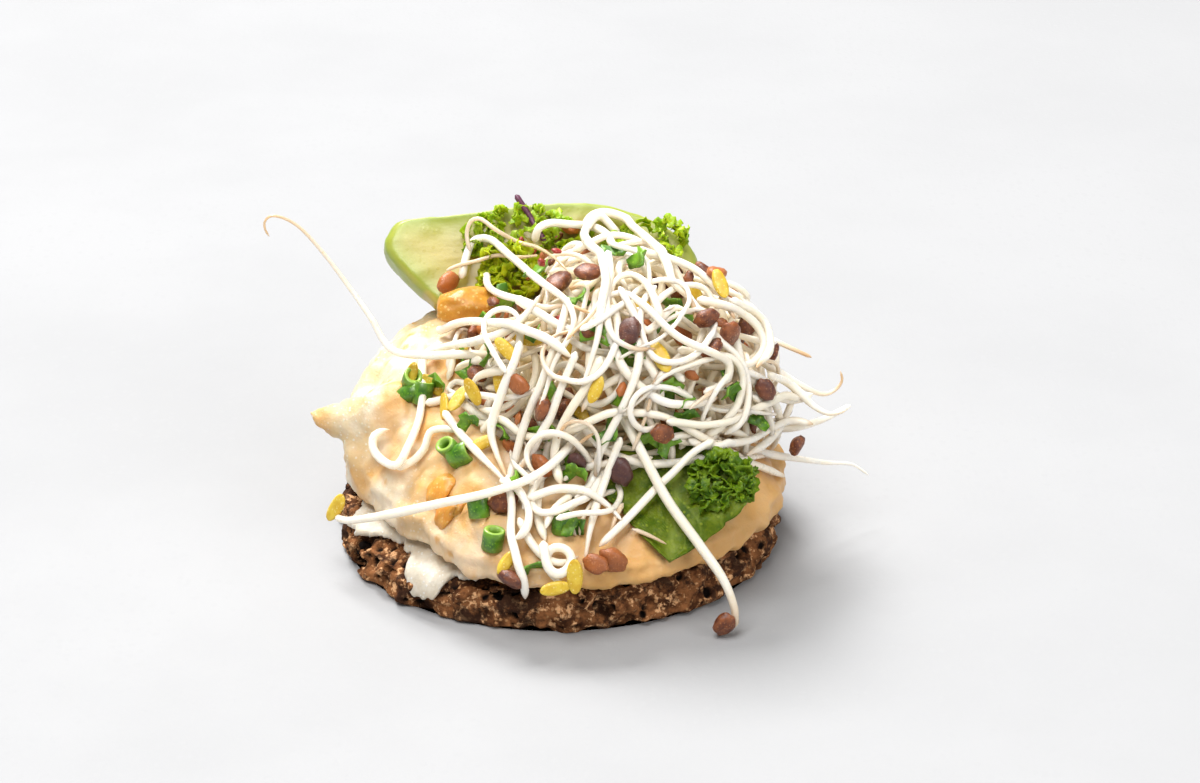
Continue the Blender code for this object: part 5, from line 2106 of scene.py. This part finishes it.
# Stems that leave the heap: route, radius, radius at the root's end, and share that is root, in millimetres
REACHING_STEMS: tuple[tuple[tuple[Place, ...], float, float, float], ...] = (
    (((-3.0, -4.0, 22.8), (-9.5, -4.2, 23.4), (-14.6, -2.6, 22.6), (-18.4, -0.6, 22.4), (-20.6, 1.0, 25.4),
      (-22.4, 2.0, 27.8), (-25.6, 3.2, 32.0), (-28.6, 4.0, 35.2), (-31.2, 4.0, 36.4), (-32.3, 4.0, 35.4),
      (-31.8, 4.0, 34.0)), 0.46, 0.12, 0.62),
    (((4.0, -9.0, 25.0), (6.5, -14.5, 21.8), (8.8, -17.6, 18.6), (11.7, -20.2, 13.8), (15.2, -22.8, 9.6),
      (17.6, -24.2, 6.4), (18.8, -24.8, 3.4), (18.9, -24.9, 1.3)), 0.52, 0.4, 0.2),
    (((12.0, -9.0, 17.5), (17.5, -8.5, 15.0), (22.0, -6.0, 12.4), (26.4, -3.0, 10.2), (30.0, 0.0, 8.2),
      (33.0, 2.0, 7.0), (34.9, 2.2, 5.6)), 0.5, 0.13, 0.5),
    (((14.0, -6.0, 20.0), (20.0, -6.0, 16.6), (25.0, -3.5, 14.2), (29.0, -1.0, 13.9), (32.3, 0.0, 15.2)),
     0.5, 0.3, 0.4),
    (((17.0, 0.0, 24.5), (22.0, -1.0, 21.5), (26.5, 0.0, 18.0), (29.6, 1.4, 16.0), (31.5, 2.0, 17.0),
      (31.4, 2.2, 18.4)), 0.5, 0.12, 0.5),
    (((14.0, 8.0, 25.0), (19.5, 8.5, 22.4), (24.2, 8.2, 19.6), (28.4, 8.0, 17.6)), 0.5, 0.2, 0.5),
    (((3.0, -15.0, 19.5), (-1.5, -19.5, 16.8), (-6.5, -20.6, 15.0), (-12.5, -18.8, 12.6),
      (-18.0, -15.4, 9.6), (-22.6, -11.8, 7.0), (-24.2, -10.0, 6.4)), 0.5, 0.38, 0.3),
)


# The studio


@dataclass
class Camera:
    """The eye of the photograph."""

    target: Place = (4.6, 0.0, 17.0)
    elevation: float = 25.0
    distance: float = 370.0
    lens: float = 100.0
    sensor: float = 36.0

    @property
    def back(self) -> Vector:
        """The direction from the target to the eye."""
        tilt = math.radians(self.elevation)
        return Vector((0.0, -math.cos(tilt), math.sin(tilt)))

    @property
    def up(self) -> Vector:
        """The picture's upward direction."""
        tilt = math.radians(self.elevation)
        return Vector((0.0, math.sin(tilt), math.cos(tilt)))

    @property
    def eye(self) -> Vector:
        """The eye's place in millimetres."""
        return Vector(self.target) + self.distance * self.back

    def ray(self, sight: Sight) -> tuple[Vector, Vector]:
        """The eye and one line of sight.

        Args:
            sight: the line of sight.

        Returns:
            The eye's place in millimetres, and the line's direction.
        """
        goal = Vector(self.target) + Vector((sight[0], 0.0, 0.0)) + sight[1] * self.up
        return self.eye, (goal - self.eye).normalized()

    def sight(self, point: Vector) -> Sight:
        """Where a point is seen.

        Args:
            point: in millimetres.

        Returns:
            Its place in the plane through the target.
        """
        away = point - Vector(self.target)
        scale = self.distance / (self.distance - away.dot(self.back))
        return away.x * scale, away.dot(self.up) * scale

    def along(self, sight: Sight, depth: float) -> Vector:
        """The point at a distance from the eye on a line of sight."""
        eye, direction = self.ray(sight)
        return eye + direction * depth

    def build(self) -> None:
        """Sets up the camera."""
        lens = bpy.data.cameras.new("camera")
        lens.lens = self.lens
        lens.sensor_width = self.sensor
        lens.clip_start = 0.01
        item = bpy.data.objects.new("camera", lens)
        bpy.context.scene.collection.objects.link(item)
        item.location = self.eye * MM
        item.rotation_euler = (math.radians(90.0 - self.elevation), 0.0, 0.0)
        bpy.context.scene.camera = item


@dataclass
class Studio:
    """A pale table under soft light from above and behind at the left.

    key, fill and side are watts, sky is the sky's strength, and aim is the height that the lights look at.
    """

    table_size: float = 4000.0
    key: float = 34.5
    fill: float = 12.0
    side: float = 2.4
    sky: float = 0.29
    aim: float = 12.0

    def build(self) -> None:
        """Makes the table, the lights and the sky."""
        half = self.table_size / 2
        corners = [(-half, -half, -0.02), (half, -half, -0.02), (half, half, -0.02), (-half, half, -0.02)]
        show("table", mesh_of("table", corners, [(0, 1, 2, 3)]), TABLE.material())
        self.lamp("key", (-390.0, 780.0, 1200.0), 570.0, self.key)
        self.lamp("fill", (-225.0, -405.0, 1035.0), 630.0, self.fill)
        self.lamp("side", (560.0, -480.0, 420.0), 420.0, self.side)
        world = bpy.data.worlds.new("sky")
        world.use_nodes = True
        sky = world.node_tree.nodes["Background"]
        sky.inputs["Color"].default_value = (1.0, 1.0, 1.0, 1.0)
        sky.inputs["Strength"].default_value = self.sky
        bpy.context.scene.world = world
        bpy.context.scene.view_settings.view_transform = "Standard"

    def lamp(self, name: str, place: Place, size: float, power: float) -> None:
        """Hangs one square soft light that looks at the sandwich.

        Args:
            name: the light's name.
            place: its place in millimetres.
            size: the length of its side.
            power: its power in watts.
        """
        light = bpy.data.lights.new(name, "AREA")
        light.size = size * MM
        light.energy = power
        item = bpy.data.objects.new(name, light)
        bpy.context.scene.collection.objects.link(item)
        item.location = Vector(place) * MM
        aim = Vector((0.0, 0.0, self.aim))
        item.rotation_euler = (Vector(place) - aim).to_track_quat("Z", "Y").to_euler()


def main() -> None:
    """Builds the studio and the sandwich from the bread upwards."""
    logging.basicConfig(level=logging.INFO, format="%(name)s %(message)s")
    camera = Camera()
    camera.build()
    Studio().build()
    kit = Kit()
    bread = Bread(kit)
    bread.build()
    CreamCheese(kit).build(bread)
    mound = Spread(kit).build()
    nodes = frame["nodes"]
    below = [mound, nodes["avocado"], nodes["orange_chunk"], nodes["bread"]]
    Avocado(kit).build()
    Chunk(kit).build()
    Herbs(kit).build(surface_of(below))
    herbs = ("leaf_front", "parsley_front", "parsley_top", "parsley_mid", "parsley_right")
    rests = surface_of([*below, *(nodes[name] for name in herbs)])
    SproutHeap(kit, rests, camera).build()


if __name__ == "__main__":
    main()
